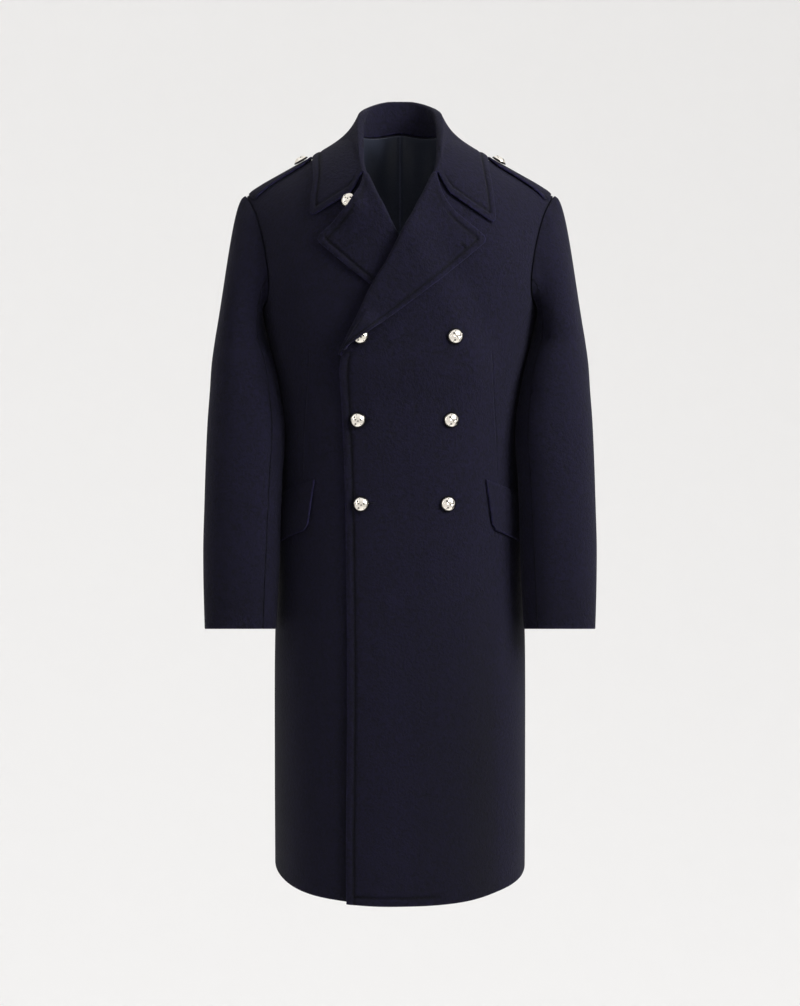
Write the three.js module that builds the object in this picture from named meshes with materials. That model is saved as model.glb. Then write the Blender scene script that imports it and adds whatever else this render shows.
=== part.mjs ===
// A long double-breasted overcoat of heavy wool, standing in the hollow shape that it takes when worn.
// Millimetres, +Z up. The front faces -Y, and the wearer's left side is at +X.
// The origin is at the middle of the neck, level with the point where shoulder and neck meet.
import * as THREE from 'three';

// Cloth and gaps
const CLOTH = 2.6;          // one thickness of the wool
const DOUBLED = 3.4;        // collar and lapels, two thicknesses pressed together
const TRIM = 3.0;           // flaps and shoulder straps
const LINING = 1.0;
const SEAM = 0.3;           // between pieces that are sewn edge to edge
const AIR = 1.2;            // under cloth that lies on other cloth

// Figure: level sections of the body form under the cloth, and the ridge of the shoulders. A section's
// depths are measured from its side seams, which lie behind the middle of the neck lower down.
const FORM = named('z width front back square side', [
  [60, 242, 146, 130, 2.4, 0],
  [0, 241, 146, 132, 2.4, 0],
  [-60, 240, 146, 134, 2.4, 0],
  [-90, 238.5, 146, 135, 2.4, 0],
  [-150, 226, 146, 137, 2.4, 0],
  [-224, 216, 148, 137, 2.4, 0],
  [-262, 209, 149, 135, 2.4, 0],
  [-340, 194, 150, 127, 2.4, 0],
  [-430, 183, 150, 121, 2.4, 0],
  [-540, 186, 152, 126, 2.38, 0],
  [-640, 189.5, 155, 135, 2.35, 0],
  [-771, 195, 159, 145, 2.35, 0],
  [-964, 198.5, 186, 142, 2.38, 20],
  [-1145, 200.5, 218, 135, 2.36, 36],
]);
const FACE_ROUNDER = 0.2;   // the sections are rounder in front and behind than at the sides
const RIDGE_TOP = 30;       // height of the shoulder ridge at the middle
const RIDGE_FALL = 0.55;    // slope of the shoulders
const RIDGE_SOFT = 20;      // rounding of the ridge at the middle
const RIDGE_DEPTH = 170;    // drop below the ridge at which the chest is at full depth
const RIDGE_ROUND = 1.6;

// Panel sections below the arm: height at the side, and where the front edge is
const LOWER = named('z edgeX', [
  [-1134, 79],
  [-1068, 79.4],
  [-960, 78.5],
  [-850, 77.5],
  [-745, 77.3],
  [-650, 78],
  [-565, 79],
  [-490, 80.5],
  [-428, 82.7],
  [-394, 84.3],
  [-362, 85.3],
  [-326, 83],
  [-293, 69],
]);
// Panel sections from the arm up, as drops below the shoulder ridge: at the roll line and neck of the
// front, at the centre and neck point of the back, and at the armhole
const UPPER = named('edgeX edge centre neck sideX side', [
  [54, 272.7, 270, 247, 209, 184.4],
  [41.5, 252, 247, 228, 204, 183.7],
  [28.5, 234.6, 224, 206, 199, 178],
  [15, 219, 201, 184, 195, 168],
  [2.5, 198, 178, 161, 193.6, 153],
  [-9.5, 173, 155, 139, 194.6, 135],
  [-20.5, 151, 134, 118, 197.3, 115],
  [-30, 129, 114, 98, 200.5, 95],
  [-39.5, 107, 96, 79, 204.6, 76],
  [-46.5, 88, 80, 62, 209, 58],
  [-53, 71, 66, 47, 213.5, 43],
  [-57.5, 55, 54, 34, 218, 30],
  [-60.2, 40, 44, 23, 222.5, 19.5],
  [-61.6, 25.4, 35.5, 14, 226, 11.5],
  [-62.2, 12.4, 28.5, 7, 229, 5.5],
  [-62.5, 4.7, 23.5, 2.5, 231, 1.6],
  [-62.6, 0, 20, 0, 232, 0],
]);
const RIDGE_ROWS = 4;       // rows over which the sections turn from level to sloped like the shoulders
const FRONT_STEPS = 13;
// Columns of the back from its centre seam, as shares of its width in angle; the neck takes the first
const BACK_SHARES = [0, 0.05, 0.1, 0.15, 0.2, 0.31, 0.42, 0.54, 0.66, 0.78, 0.89, 1];
const NECK_SHARE = 0.2;
const BACK_WIDER = 6;       // the back is wider than the front at the armhole

// The left front laps over the right one, and over its lapel
const LAP_PAST = 12;        // it is fully raised this far past the edge of the right front
const LAP_FADE = 60;
const LAP_LONGER = 3;       // how much lower its hem hangs at the front edge
const ROLL_LOW = -332;      // and over the lapel down to here
const ROLL_LOW_FADE = 66;

// Lapel rows from the break up: roll height, outer edge, and radius of the rolled fold
const LAPEL = named('roll edgeX edgeZ radius', [
  [-322, -77, -313, 3.6],
  [-306, -60, -300, 3.7],
  [-288, -38, -284, 3.9],
  [-266, -10, -264, 4.2],
  [-242, 18, -243, 4.6],
  [-217, 44, -223, 5.0],
  [-192, 68, -204.5, 5.4],
  [-165, 90, -187, 5.8],
  [-138, 108, -172, 6.0],
  [-110, 120, -162, 6.0],
  [-86, 124, -157, 6.0],
  [-65, 124.8, -155, 6.0],
]);
const LAPEL_STEPS = 5;
const LAPEL_WIDE = 78;      // widest reach of a lapel past its roll
const LAPEL_AIR = 2.4;      // under a lapel, clear of its own front
const LAPEL_FLAT = 0.8;     // share of its width over which it settles on the chest
const FOLD_STEPS = 4;
const ROLL_STEP = 4;
const ROLL_SEAM = 0.9;      // between the roll and the edge of its front
const PRESSED = 3.7;        // radius of the right lapel's roll where the left front covers it
const PRESSED_FROM = -112;
const PRESSED_FULL = -146;

// Collar stations from the centre of the back (0) over the neck point (1) to the notch: the crest of the
// fold, and the outer edge on the shoulder
const COLLAR = named('along crestX crestY crestZ edgeX edgeY', [
  [0, 0, 70, 61, 0, 80],
  [0.33, 21, 66, 60, 38, 79],
  [0.66, 39.5, 52, 54.5, 73, 68],
  [1.0, 52, 28, 46, 104, 43],
  [1.3, 57.2, 3, 37, 127.6, -2],
  [1.6, 58.5, -24, 21, 134, -46],
  [1.9, 57.5, -50, 2, 138, -68],
  [2.2, 56, -75, -18, 140, -87],
  [2.5, 53.5, -97, -40, 138.5, -101],
  [2.8, 48.2, -117, -61.5, 134.5, -106],
]);
const COLLAR_STEPS = 14;    // columns on each side of the centre
const STATION = 0.3;        // between two stations, one row of the front's edge
const STAND_STEPS = 3;
const LEAF_STEPS = 5;
const COLLAR_FOLD = 5.8;    // radius of the collar's fold
const COLLAR_AIR = 2;
const NECK_SEAM = 0.5;      // between collar and panels, and how high the collar's foot stands
const FOOT_RISE = 0.4;
const LEAF_SAG = 11;        // hollow of the leaf from fold to edge
const RIGHT_NARROWER = 5;   // the right side of collar and lapel shows this much narrower
const NARROWER_FROM = { along: 1.3, full: 2.2 };
const NOTCH = { share: 0.2, sag: 12, from: 2.1 };   // the front edge of the leaf dips to the notch

// Sleeves: level rings below the cap, as centre, half width, half depth and tilt
const ARM = named('z x y width depth tilt', [
  [-300, 239.5, -12, 41, 79, 0],
  [-338, 234.5, -26, 50.5, 77, 0],
  [-380, 232, -36, 55.5, 75, 0],
  [-425, 230.5, -46, 60, 72, 0],
  [-485, 233, -56, 60, 69, 0],
  [-548, 236, -64, 59, 65, 0.02],
  [-609, 238.5, -70, 58.5, 60, 0.06],
  [-660, 240, -75, 57, 55, 0.11],
  [-705, 241, -79, 55.5, 50, 0.16],
  [-737.5, 241.5, -82, 54, 46.5, 0.19],
]);
const ARM_ROUND = 2.2;
const SLEEVE_SEAM = 0.9;
const CAP_STEPS = [0, 0.07, 0.17, 0.32, 0.5, 0.74];   // rows of the cap, from armhole to first ring
const CAP_PULL = { mean: 14, swing: 6 };              // how far the cap stands out at the armhole
const CAP_HANG = 0.43;
const CAP_RISE = { head: 0.3, under: 0.15 };   // roping of the sleeve head
const CAP_LEAN = 0.2;
const FRONT_SEAM = 131;     // places of the sleeve's two seams, in degrees from outside over front
const HIND_SEAM = 258;
const TOP_SLEEVE_STEPS = 15;
const UNDER_SLEEVE_STEPS = 9;
const ARM_CLEAR = 4;
const FLAP_CLEAR = 10;      // where a sleeve passes over a pocket flap
const FLAP_NEAR = { above: -465.5, below: -655.5, end: -610.5 };
const CLEAR_FROM = { top: -238, full: -260 };

// Pocket flaps, from the inner end round to the side, in degrees round the form
const FLAP = { from: 42.5, to: 80, top: -505.5, slope: 36, depth: 75, tuck: 7,
  corner: 9, cornerShare: 0.14, seat: 0.2, seatShare: 0.4 };
const FLAP_STEPS = { along: 10, down: 5 };

// Shoulder straps
const STRAP = { inner: 131, outer: 228, point: 15, hollow: 12, innerHalf: 23, outerHalf: 24,
  air: 2, seat: 0.8, seatFrom: 0.7 };
const STRAP_STEPS = { along: 9, across: 6 };

// Buttons
const BUTTON = { radius: 12, lift: 0.6, crown: 0.2, sides: 14 };
const BUTTON_PROFILE = named('radius height', [
  [0.62, 0], [1.0, 0.9], [1.0, 1.8], [0.9, 2.9], [0.76, 4.9], [0.5, 6.8], [0.24, 7.6],
]);
const FRONT_BUTTONS = named('row x z', [
  [1, -55.5, -294.6], [2, -60.3, -416], [3, -56.2, -538.5],
]);
const BUTTON_ACROSS = { x1: 77.3, x2: 73.4, x3: 69.4 };
const NECK_BUTTON = { x: -74.2, z: -99.9 };
const STRAP_BUTTON = { x: 146, y: -5 };
const BUTTON_ROOM = 9.6;    // how high a lapel rises over a button under it
const BUTTON_ROOM_FROM = 15;
const BUTTON_REACH = 46;

// Finishes
const WOOL = { color: 0x1d1c29, roughness: 0.94, metalness: 0 };
const SATIN = { color: 0x14171c, roughness: 0.45, metalness: 0 };
const SILVER = { color: 0xc9c4ba, roughness: 0.22, metalness: 1 };

const RIGHT_ANGLE = Math.PI / 2;
const BEHIND = RIGHT_ANGLE + 1e-6;
const FIRST_DROP = 2;
const DROP_GROWTH = 1.5;
const HALVINGS = 20;
const LIFTS = 4;
const LEAST_INSET = 0.01;
const FLAT = () => 0;
const coat = new THREE.Group();

// Tables and curves

// Gives each row of a table the names of its columns
function named(columns, rows) {
  const names = columns.split(' ');
  return rows.map((row) => Object.fromEntries(names.map((name, i) => [name, row[i]])));
}

// Smooth value of one column of a table at a place along another column
function follow(table, by, place, column) {
  const rising = table[table.length - 1][by] > table[0][by];
  let i = 0;
  while (i < table.length - 2 && (rising ? place > table[i + 1][by] : place < table[i + 1][by])) i += 1;
  const row = (k) => table[Math.min(Math.max(k, 0), table.length - 1)];
  const slope = (k) => (row(k + 1)[column] - row(k - 1)[column]) / (row(k + 1)[by] - row(k - 1)[by]);
  const step = table[i + 1][by] - table[i][by];
  const t = Math.min(Math.max((place - table[i][by]) / step, 0), 1);
  const bend = (t - 1) * (t - 1) * t * step * slope(i) + (t - 1) * t * t * step * slope(i + 1);
  const ease = t * t * (3 - 2 * t);
  return table[i][column] * (1 - ease) + table[i + 1][column] * ease + bend;
}

function smooth(from, to, value) {
  const t = Math.min(Math.max((value - from) / (to - from), 0), 1);
  return t * t * (3 - 2 * t);
}

function mix(a, b, t) {
  return a + (b - a) * t;
}

// The body form

function ridge(x) {
  return RIDGE_TOP - RIDGE_FALL * (Math.hypot(x, RIDGE_SOFT) - RIDGE_SOFT);
}

function halfWidth(z) {
  return follow(FORM, 'z', z, 'width');
}

function sideY(z) {
  return follow(FORM, 'z', z, 'side');
}

// Point of the form at an angle from the middle of the front (0) over the side (90 degrees) to the back
function formPoint(angle, z) {
  const width = halfWidth(z);
  const x = width * Math.sin(angle);
  const drop = Math.min(Math.max(ridge(x) - z, 0), RIDGE_DEPTH) / RIDGE_DEPTH;
  const fullness = (1 - (1 - drop) ** 2) ** (1 / RIDGE_ROUND);
  const square = follow(FORM, 'z', z, 'square');
  const inset = Math.max(1 - Math.abs(Math.sin(angle)) ** square, 0) ** (1 / (square - FACE_ROUNDER));
  const isFront = Math.cos(angle) >= 0;
  const depth = follow(FORM, 'z', z, isFront ? 'front' : 'back') * inset * fullness;
  return new THREE.Vector3(x, sideY(z) + (isFront ? -1 : 1) * (SEAM / 2 + depth), z);
}

function formNormal(angle, z) {
  const turn = 0.01;
  const rise = 1;
  const across = formPoint(angle + turn, z).sub(formPoint(angle - turn, z));
  const up = formPoint(angle, z + rise).sub(formPoint(angle, z - rise));
  return across.cross(up).normalize();
}

// Point at a height above the form's surface, kept on its own side of the seams between panels
function cloth(angle, z, height) {
  const point = formPoint(angle, z).addScaledVector(formNormal(angle, z), height);
  const side = Math.cos(angle) >= 0 ? -1 : 1;
  if (side * (point.y - sideY(z)) < SEAM / 2) point.y = sideY(z) + side * SEAM / 2;
  return point;
}

function frontAngle(x, z) {
  return Math.asin(Math.min(Math.max(x / halfWidth(z), -1), 1));
}

// Drop below the ridge of the form's point at a distance in front of the ridge (or behind it)
function dropOf(x, y) {
  const reaches = (drop) => {
    const z = ridge(x) - drop;
    const angle = frontAngle(x, z);
    return Math.abs(formPoint(y < 0 ? angle : Math.PI - angle, z).y) > Math.abs(y);
  };
  let [shallow, deep] = [0, FIRST_DROP];
  while (deep < RIDGE_DEPTH && !reaches(deep)) [shallow, deep] = [deep, deep * DROP_GROWTH];
  for (let i = 0; i < HALVINGS; i += 1) {
    const drop = (shallow + deep) / 2;
    if (reaches(drop)) deep = drop;
    else shallow = drop;
  }
  return shallow;
}

// Point on the shoulder, above the form's surface
function overShoulder(x, y, height) {
  const z = ridge(x) - dropOf(x, y);
  const angle = frontAngle(x, z);
  return formPoint(y < 0 ? angle : Math.PI - angle, z).addScaledVector(shoulderNormal(x, y), height);
}

// How far a point lies outside the form of the shoulders and chest, and the way out
function outside(point) {
  const measure = ({ x, y, z }) => {
    const depth = follow(FORM, 'z', z, y < 0 ? 'front' : 'back');
    const square = follow(FORM, 'z', z, 'square');
    const across = Math.max(1 - Math.abs(x / halfWidth(z)) ** square, LEAST_INSET);
    const inset = across ** (1 / (square - FACE_ROUNDER));
    const drop = Math.min((ridge(x) - z) / RIDGE_DEPTH, 1);
    return (Math.abs(y) / (depth * inset)) ** RIDGE_ROUND + (1 - drop) ** 2 - 1;
  };
  const slope = (dx, dy, dz) => {
    const step = new THREE.Vector3(dx, dy, dz);
    return (measure(point.clone().add(step)) - measure(point.clone().sub(step))) / 2;
  };
  const way = new THREE.Vector3(slope(1, 0, 0), slope(0, 1, 0), slope(0, 0, 1));
  const steepness = way.length();
  return { distance: measure(point) / steepness, way: way.divideScalar(steepness) };
}

// Moves a point out until it is at least at a height above the form
function lifted(point, height) {
  for (let i = 0; i < LIFTS; i += 1) {
    const { distance, way } = outside(point);
    if (distance < height) point.addScaledVector(way, height - distance);
  }
  return point;
}

function shoulderNormal(x, y) {
  const step = 2;
  const at = (dx, dy) => new THREE.Vector3(x + dx, y + dy, ridge(x + dx) - dropOf(x + dx, y + dy));
  return at(step, 0).sub(at(-step, 0)).cross(at(0, step).sub(at(0, -step))).normalize();
}

// Walls of cloth

// Closed wall between two grids of points, outer[row][column] and inner[row][column]
function wall(outer, inner) {
  const rows = outer.length;
  const columns = outer[0].length;
  const points = [...outer.flat(), ...inner.flat()];
  const index = (side, r, c) => side * rows * columns + r * columns + c;
  const faces = [];
  const quad = (a, b, c, d) => faces.push(a, b, c, a, c, d);
  for (let r = 0; r < rows - 1; r += 1) {
    for (let c = 0; c < columns - 1; c += 1) {
      quad(index(0, r, c), index(0, r, c + 1), index(0, r + 1, c + 1), index(0, r + 1, c));
      quad(index(1, r, c), index(1, r + 1, c), index(1, r + 1, c + 1), index(1, r, c + 1));
    }
    const last = columns - 1;
    quad(index(0, r, 0), index(0, r + 1, 0), index(1, r + 1, 0), index(1, r, 0));
    quad(index(0, r, last), index(1, r, last), index(1, r + 1, last), index(0, r + 1, last));
  }
  for (let c = 0; c < columns - 1; c += 1) {
    const last = rows - 1;
    quad(index(0, 0, c), index(1, 0, c), index(1, 0, c + 1), index(0, 0, c + 1));
    quad(index(0, last, c), index(0, last, c + 1), index(1, last, c + 1), index(1, last, c));
  }
  return solidFrom(points, faces);
}

// Geometry with its faces turned outward, whichever way the points ran
function solidFrom(points, faces) {
  const geometry = new THREE.BufferGeometry().setFromPoints(points);
  let volume = 0;
  for (let i = 0; i < faces.length; i += 3) {
    const [a, b, c] = [points[faces[i]], points[faces[i + 1]], points[faces[i + 2]]];
    volume += a.dot(b.clone().cross(c));
  }
  geometry.setIndex(volume > 0 ? faces : faces.slice().reverse());
  geometry.computeVertexNormals();
  return geometry;
}

function grid(rows, columns, make) {
  return Array.from({ length: rows + 1 }, (_, r) => Array.from({ length: columns + 1 }, (__, c) => make(r, c)));
}

// Grid moved by a distance along its own normals
function offsetGrid(points, distance) {
  const rows = points.length;
  const columns = points[0].length;
  const at = (r, c) => points[Math.min(Math.max(r, 0), rows - 1)][Math.min(Math.max(c, 0), columns - 1)];
  return points.map((line, r) => line.map((point, c) => {
    const along = at(r, c + 1).clone().sub(at(r, c - 1));
    const up = at(r + 1, c).clone().sub(at(r - 1, c));
    return point.clone().addScaledVector(along.cross(up).normalize(), distance);
  }));
}

function mirrored(points) {
  return points.map((line) => line.map((point) => new THREE.Vector3(-point.x, point.y, point.z)));
}

function piece(name, geometry, finish) {
  const mesh = new THREE.Mesh(geometry, new THREE.MeshStandardMaterial(finish));
  mesh.name = name;
  coat.add(mesh);
}

// Fronts

// How far the left front stands off the form, over the right front and its lapel
function lap(x, z) {
  const edge = -rollX(z) + LAP_PAST;
  const across = 1 - smooth(edge, edge + LAP_FADE, x);
  const roll = smooth(ROLL_LOW - ROLL_LOW_FADE, ROLL_LOW, z);
  return across * (CLOTH + AIR + (DOUBLED + LAPEL_AIR + AIR) * roll);
}

// The front edge below the break, and the roll line above it
const EDGES = [...LOWER.map(({ z, edgeX }) => ({ z, x: -edgeX })),
  ...UPPER.map(({ edgeX, edge }) => ({ z: ridge(edgeX) - edge, x: -edgeX }))];

function rollX(z) {
  return follow(EDGES, 'z', z, 'x');
}

// Place of a front section's point in the front view: x and z on the form
function frontRow(row) {
  const low = LOWER.length;
  if (row < low) {
    const { z, edgeX } = LOWER[row];
    return { edge: -edgeX, edgeZ: z, side: halfWidth(z), sideZ: z, ridgeShare: 0 };
  }
  const { edgeX, edge, sideX, side } = UPPER[row - low];
  const ridgeShare = smooth(0, RIDGE_ROWS, row - low);
  return { edge: -edgeX, edgeZ: ridge(edgeX) - edge, side: sideX, sideZ: ridge(sideX) - side, ridgeShare };
}

function frontPlace(row, share) {
  const { edge, edgeZ, side, sideZ, ridgeShare } = frontRow(row);
  const angle = mix(frontAngle(edge, edgeZ), frontAngle(side, sideZ), share);
  const level = mix(edgeZ, sideZ, share);
  const x = halfWidth(level) * Math.sin(angle);
  const sloped = ridge(x) - mix(ridge(edge) - edgeZ, ridge(side) - sideZ, share);
  return { angle, z: mix(level, sloped, ridgeShare) };
}

function frontGrid(height, standsOff, longer) {
  return grid(LOWER.length + UPPER.length - 1, FRONT_STEPS, (r, c) => {
    const { angle, z } = frontPlace(r, c / FRONT_STEPS);
    const level = r === 0 ? z - longer * (1 - c / FRONT_STEPS) : z;
    return cloth(angle, level, height + standsOff(halfWidth(z) * Math.sin(angle), z));
  });
}

function addFronts() {
  const [over, under] = [0, -CLOTH].map((height) => frontGrid(height, lap, LAP_LONGER));
  piece('left_front', wall(over, under), WOOL);
  const [outer, inner] = [0, -CLOTH].map((height) => mirrored(frontGrid(height, FLAT, 0)));
  piece('right_front', wall(outer, inner), WOOL);
}

// Backs

function backPlace(row, share) {
  const low = LOWER.length;
  const seamAngle = Math.PI;
  if (row < low) {
    return { angle: mix(seamAngle, BEHIND, share), z: LOWER[row].z };
  }
  const { centre, neck, sideX, side } = UPPER[row - low];
  const wider = BACK_WIDER * Math.sin((Math.PI * (row - low)) / (UPPER.length - 1));
  const sideZ = ridge(sideX + wider) - side;
  const sideAngle = Math.max(Math.PI - frontAngle(sideX + wider, sideZ), BEHIND);
  const angle = mix(seamAngle, sideAngle, share);
  const inNeck = Math.min(share / NECK_SHARE, 1);
  const past = Math.max((share - NECK_SHARE) / (1 - NECK_SHARE), 0);
  const drop = past > 0 ? mix(neck, side, past) : mix(centre, neck, inNeck * inNeck);
  const level = mix(ridge(0) - centre, sideZ, share);
  const sloped = ridge(halfWidth(level) * Math.sin(angle)) - drop;
  return { angle, z: mix(level, sloped, smooth(0, RIDGE_ROWS, row - low)) };
}

function backGrid(height) {
  return grid(LOWER.length + UPPER.length - 1, BACK_SHARES.length - 1, (r, c) => {
    const { angle, z } = backPlace(r, BACK_SHARES[c]);
    const point = cloth(angle, z, height);
    point.x = Math.max(point.x, SEAM / 2);
    return point;
  });
}

function addBacks() {
  const outer = backGrid(0);
  const inner = backGrid(-CLOTH);
  piece('left_back', wall(outer, inner), WOOL);
  piece('right_back', wall(mirrored(outer), mirrored(inner)), WOOL);
}

// The lining that shows in the neck lies on the inside of the upper back, with a seam at its centre
function addBackLining() {
  const first = LOWER.length + 1;
  const last = LOWER.length + UPPER.length - 1;
  const side = (height) => grid(last - first, BACK_SHARES.length - 2, (r, c) => {
    const { angle, z } = backPlace(first + r, BACK_SHARES[c]);
    const point = cloth(angle, z, height - CLOTH - SEAM);
    point.x = Math.max(point.x, SEAM / 2);
    return point;
  });
  const [outer, inner] = [side(0), side(-LINING)];
  piece('left_back_lining', wall(outer, inner), SATIN);
  piece('right_back_lining', wall(mirrored(outer), mirrored(inner)), SATIN);
}

// Lapels

// How far a lapel rises over a button that it half covers
function overButton(x, z, button) {
  const away = Math.hypot(x - button.x, z - button.z);
  return BUTTON_ROOM * (1 - smooth(BUTTON_ROOM_FROM, BUTTON_REACH, away));
}

function lapelGrid(inset, under, button, isCovered) {
  return grid(LAPEL.length - 1, FOLD_STEPS + LAPEL_STEPS, (r, c) => {
    const { roll, edgeX, edgeZ } = LAPEL[r];
    const pressed = isCovered ? smooth(PRESSED_FROM, PRESSED_FULL, roll) : 0;
    const radius = mix(LAPEL[r].radius, PRESSED, pressed);
    const x = rollX(roll);
    const along = new THREE.Vector2(rollX(roll + ROLL_STEP) - x, ROLL_STEP).normalize();
    const out = { x: -along.y, z: along.x };
    const top = 2 * radius - CLOTH;
    if (c <= FOLD_STEPS) {
      const turn = -RIGHT_ANGLE + (Math.PI * c) / FOLD_STEPS;
      const reach = ROLL_SEAM + (radius - inset) * Math.cos(turn);
      const height = radius - CLOTH + (radius - inset) * Math.sin(turn);
      const [px, pz] = [x + out.x * reach, roll + out.z * reach];
      return cloth(frontAngle(px, pz), pz, height + under(x, roll));
    }
    const share = (c - FOLD_STEPS) / LAPEL_STEPS;
    const reachX = isCovered ? mix(x, edgeX, 1 - RIGHT_NARROWER / LAPEL_WIDE) : edgeX;
    const [px, pz] = [mix(x, reachX, share), mix(roll, edgeZ, share)];
    const rest = LAPEL_AIR + DOUBLED;
    const height = Math.max(mix(top, rest, smooth(0, LAPEL_FLAT, share)), rest);
    return cloth(frontAngle(px, pz), pz, height - inset + under(px, pz) + overButton(px, pz, button));
  });
}

function addLapels() {
  const frontButton = FRONT_BUTTONS[0];
  const neckButton = { x: -NECK_BUTTON.x, z: NECK_BUTTON.z };
  const left = (inset) => lapelGrid(inset, lap, frontButton, false);
  const right = (inset) => mirrored(lapelGrid(inset, FLAT, neckButton, true));
  piece('left_lapel', wall(left(0), left(DOUBLED)), WOOL);
  piece('right_lapel', wall(right(0), right(DOUBLED)), WOOL);
}

// Collar

// Neck edge of back and front, from the centre back (0) over the neck point (1) to the roll (2.8)
function neckEdge(along, height) {
  const top = LOWER.length + UPPER.length - 1;
  if (along <= 1) {
    const { angle, z } = backPlace(top, along * NECK_SHARE);
    return cloth(angle, z, height);
  }
  const last = UPPER.length - 1;
  const edges = UPPER.map(({ edgeX, edge }, i) => ({ i: last - i, x: -edgeX, z: ridge(edgeX) - edge }));
  const [x, z] = ['x', 'z'].map((column) => follow(edges, 'i', (along - 1) / STATION, column));
  return cloth(frontAngle(x, z), z, height);
}

function collarCrest(along) {
  const place = ['crestX', 'crestY', 'crestZ'].map((column) => follow(COLLAR, 'along', along, column));
  return new THREE.Vector3(...place);
}

// Visible side of the collar: up the inside of the stand, over the fold and down the leaf
function collarColumn(along, isLeft) {
  const step = 0.03;
  const crest = collarCrest(along);
  const ahead = collarCrest(along + step).sub(collarCrest(Math.max(along - step, 0))).normalize();
  if (along === 0) ahead.set(1, 0, 0);
  const foot = neckEdge(along, FOOT_RISE);
  const normal = foot.clone().sub(neckEdge(along, 0)).normalize();
  const edgeAhead = neckEdge(along + step, 0).sub(neckEdge(Math.max(along - step, 0), 0)).normalize();
  foot.addScaledVector(edgeAhead.cross(normal).normalize(), -NECK_SEAM);
  const away = crest.clone().sub(foot).cross(ahead).normalize();
  const start = foot.clone().addScaledVector(away, -DOUBLED);
  const up = crest.clone().sub(start).addScaledVector(away, -crest.clone().sub(start).dot(away)).normalize();
  const hub = crest.clone().addScaledVector(up, -COLLAR_FOLD);
  const column = [];
  const rise = hub.clone().addScaledVector(away, -COLLAR_FOLD);
  for (let i = 0; i < STAND_STEPS; i += 1) column.push(start.clone().lerp(rise, i / STAND_STEPS));
  for (let i = 0; i <= FOLD_STEPS; i += 1) {
    const turn = (Math.PI * i) / FOLD_STEPS;
    column.push(hub.clone().addScaledVector(away, -COLLAR_FOLD * Math.cos(turn))
      .addScaledVector(up, COLLAR_FOLD * Math.sin(turn)));
  }
  const [edgeX, edgeY] = ['edgeX', 'edgeY'].map((name) => follow(COLLAR, 'along', along, name));
  const narrower = isLeft ? 0 : RIGHT_NARROWER * smooth(NARROWER_FROM.along, NARROWER_FROM.full, along);
  const edge = overShoulder(edgeX - narrower, edgeY, COLLAR_AIR + DOUBLED);
  const begin = column[column.length - 1];
  for (let i = 1; i <= LEAF_STEPS; i += 1) {
    const share = i / LEAF_STEPS;
    const sag = LEAF_SAG * Math.sin(Math.PI * share);
    const dip = share < NOTCH.share ? share / NOTCH.share : (1 - share) / (1 - NOTCH.share);
    const point = begin.clone().lerp(edge, share).addScaledVector(away, -sag);
    point.z -= NOTCH.sag * dip * smooth(NOTCH.from, COLLAR[COLLAR.length - 1].along, along);
    column.push(lifted(point, COLLAR_AIR + DOUBLED + (isLeft ? lap(point.x, point.z) : 0)));
  }
  return column;
}

function addCollar() {
  const last = COLLAR[COLLAR.length - 1].along;
  const columns = [];
  for (let i = -COLLAR_STEPS; i <= COLLAR_STEPS; i += 1) {
    const half = collarColumn((Math.abs(i) / COLLAR_STEPS) * last, i > 0);
    columns.push(half.map((point) => new THREE.Vector3(Math.sign(i) * point.x, point.y, point.z)));
  }
  piece('collar', wall(columns, offsetGrid(columns, -DOUBLED)), WOOL);
}

// Sleeves

// The armhole as a loop: outside (0 degrees) at the shoulder, front (90), under the arm (180), back (270)
function armholePoint(degrees) {
  const isFront = degrees <= 180;
  const share = (isFront ? degrees : 360 - degrees) / 180;
  const last = UPPER.length - 1;
  const rows = UPPER.map(({ sideX, side }, i) => {
    const x = sideX + (isFront ? 0 : BACK_WIDER * Math.sin((Math.PI * i) / last));
    return { place: last - i, x, z: ridge(x) - side };
  });
  const place = last * share;
  const [x, z] = ['x', 'z'].map((column) => follow(rows, 'place', place, column));
  const angle = frontAngle(x, z);
  return cloth(isFront ? angle : Math.PI - angle, z, 0);
}

function armRing(z, degrees) {
  const [x, y, width, depth, tilt] = ['x', 'y', 'width', 'depth', 'tilt']
    .map((column) => follow(ARM, 'z', z, column));
  const turn = THREE.MathUtils.degToRad(degrees);
  const bulge = (value) => Math.sign(value) * Math.abs(value) ** (2 / ARM_ROUND);
  const [across, ahead] = [width * bulge(Math.cos(turn)), -depth * bulge(Math.sin(turn))];
  return new THREE.Vector3(x + across, y + ahead, z - tilt * ahead);
}

// Moves a sleeve point out of the body's side, to a clear distance
function clearOfBody(point) {
  const { x, y, z } = point;
  const flap = smooth(FLAP_NEAR.above, FLAP.top, z) * smooth(FLAP_NEAR.below, FLAP_NEAR.end, z);
  const clear = mix(ARM_CLEAR, FLAP_CLEAR, flap) * smooth(CLEAR_FROM.top, CLEAR_FROM.full, z);
  const [width, depth] = [halfWidth(z) + clear, follow(FORM, 'z', z, y < 0 ? 'front' : 'back') + clear];
  const square = follow(FORM, 'z', z, 'square');
  const inset = Math.max(1 - Math.abs(y / depth) ** (square - FACE_ROUNDER), 0) ** (1 / square);
  if (x < width * inset) point.x = width * inset;
  return point;
}

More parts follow.
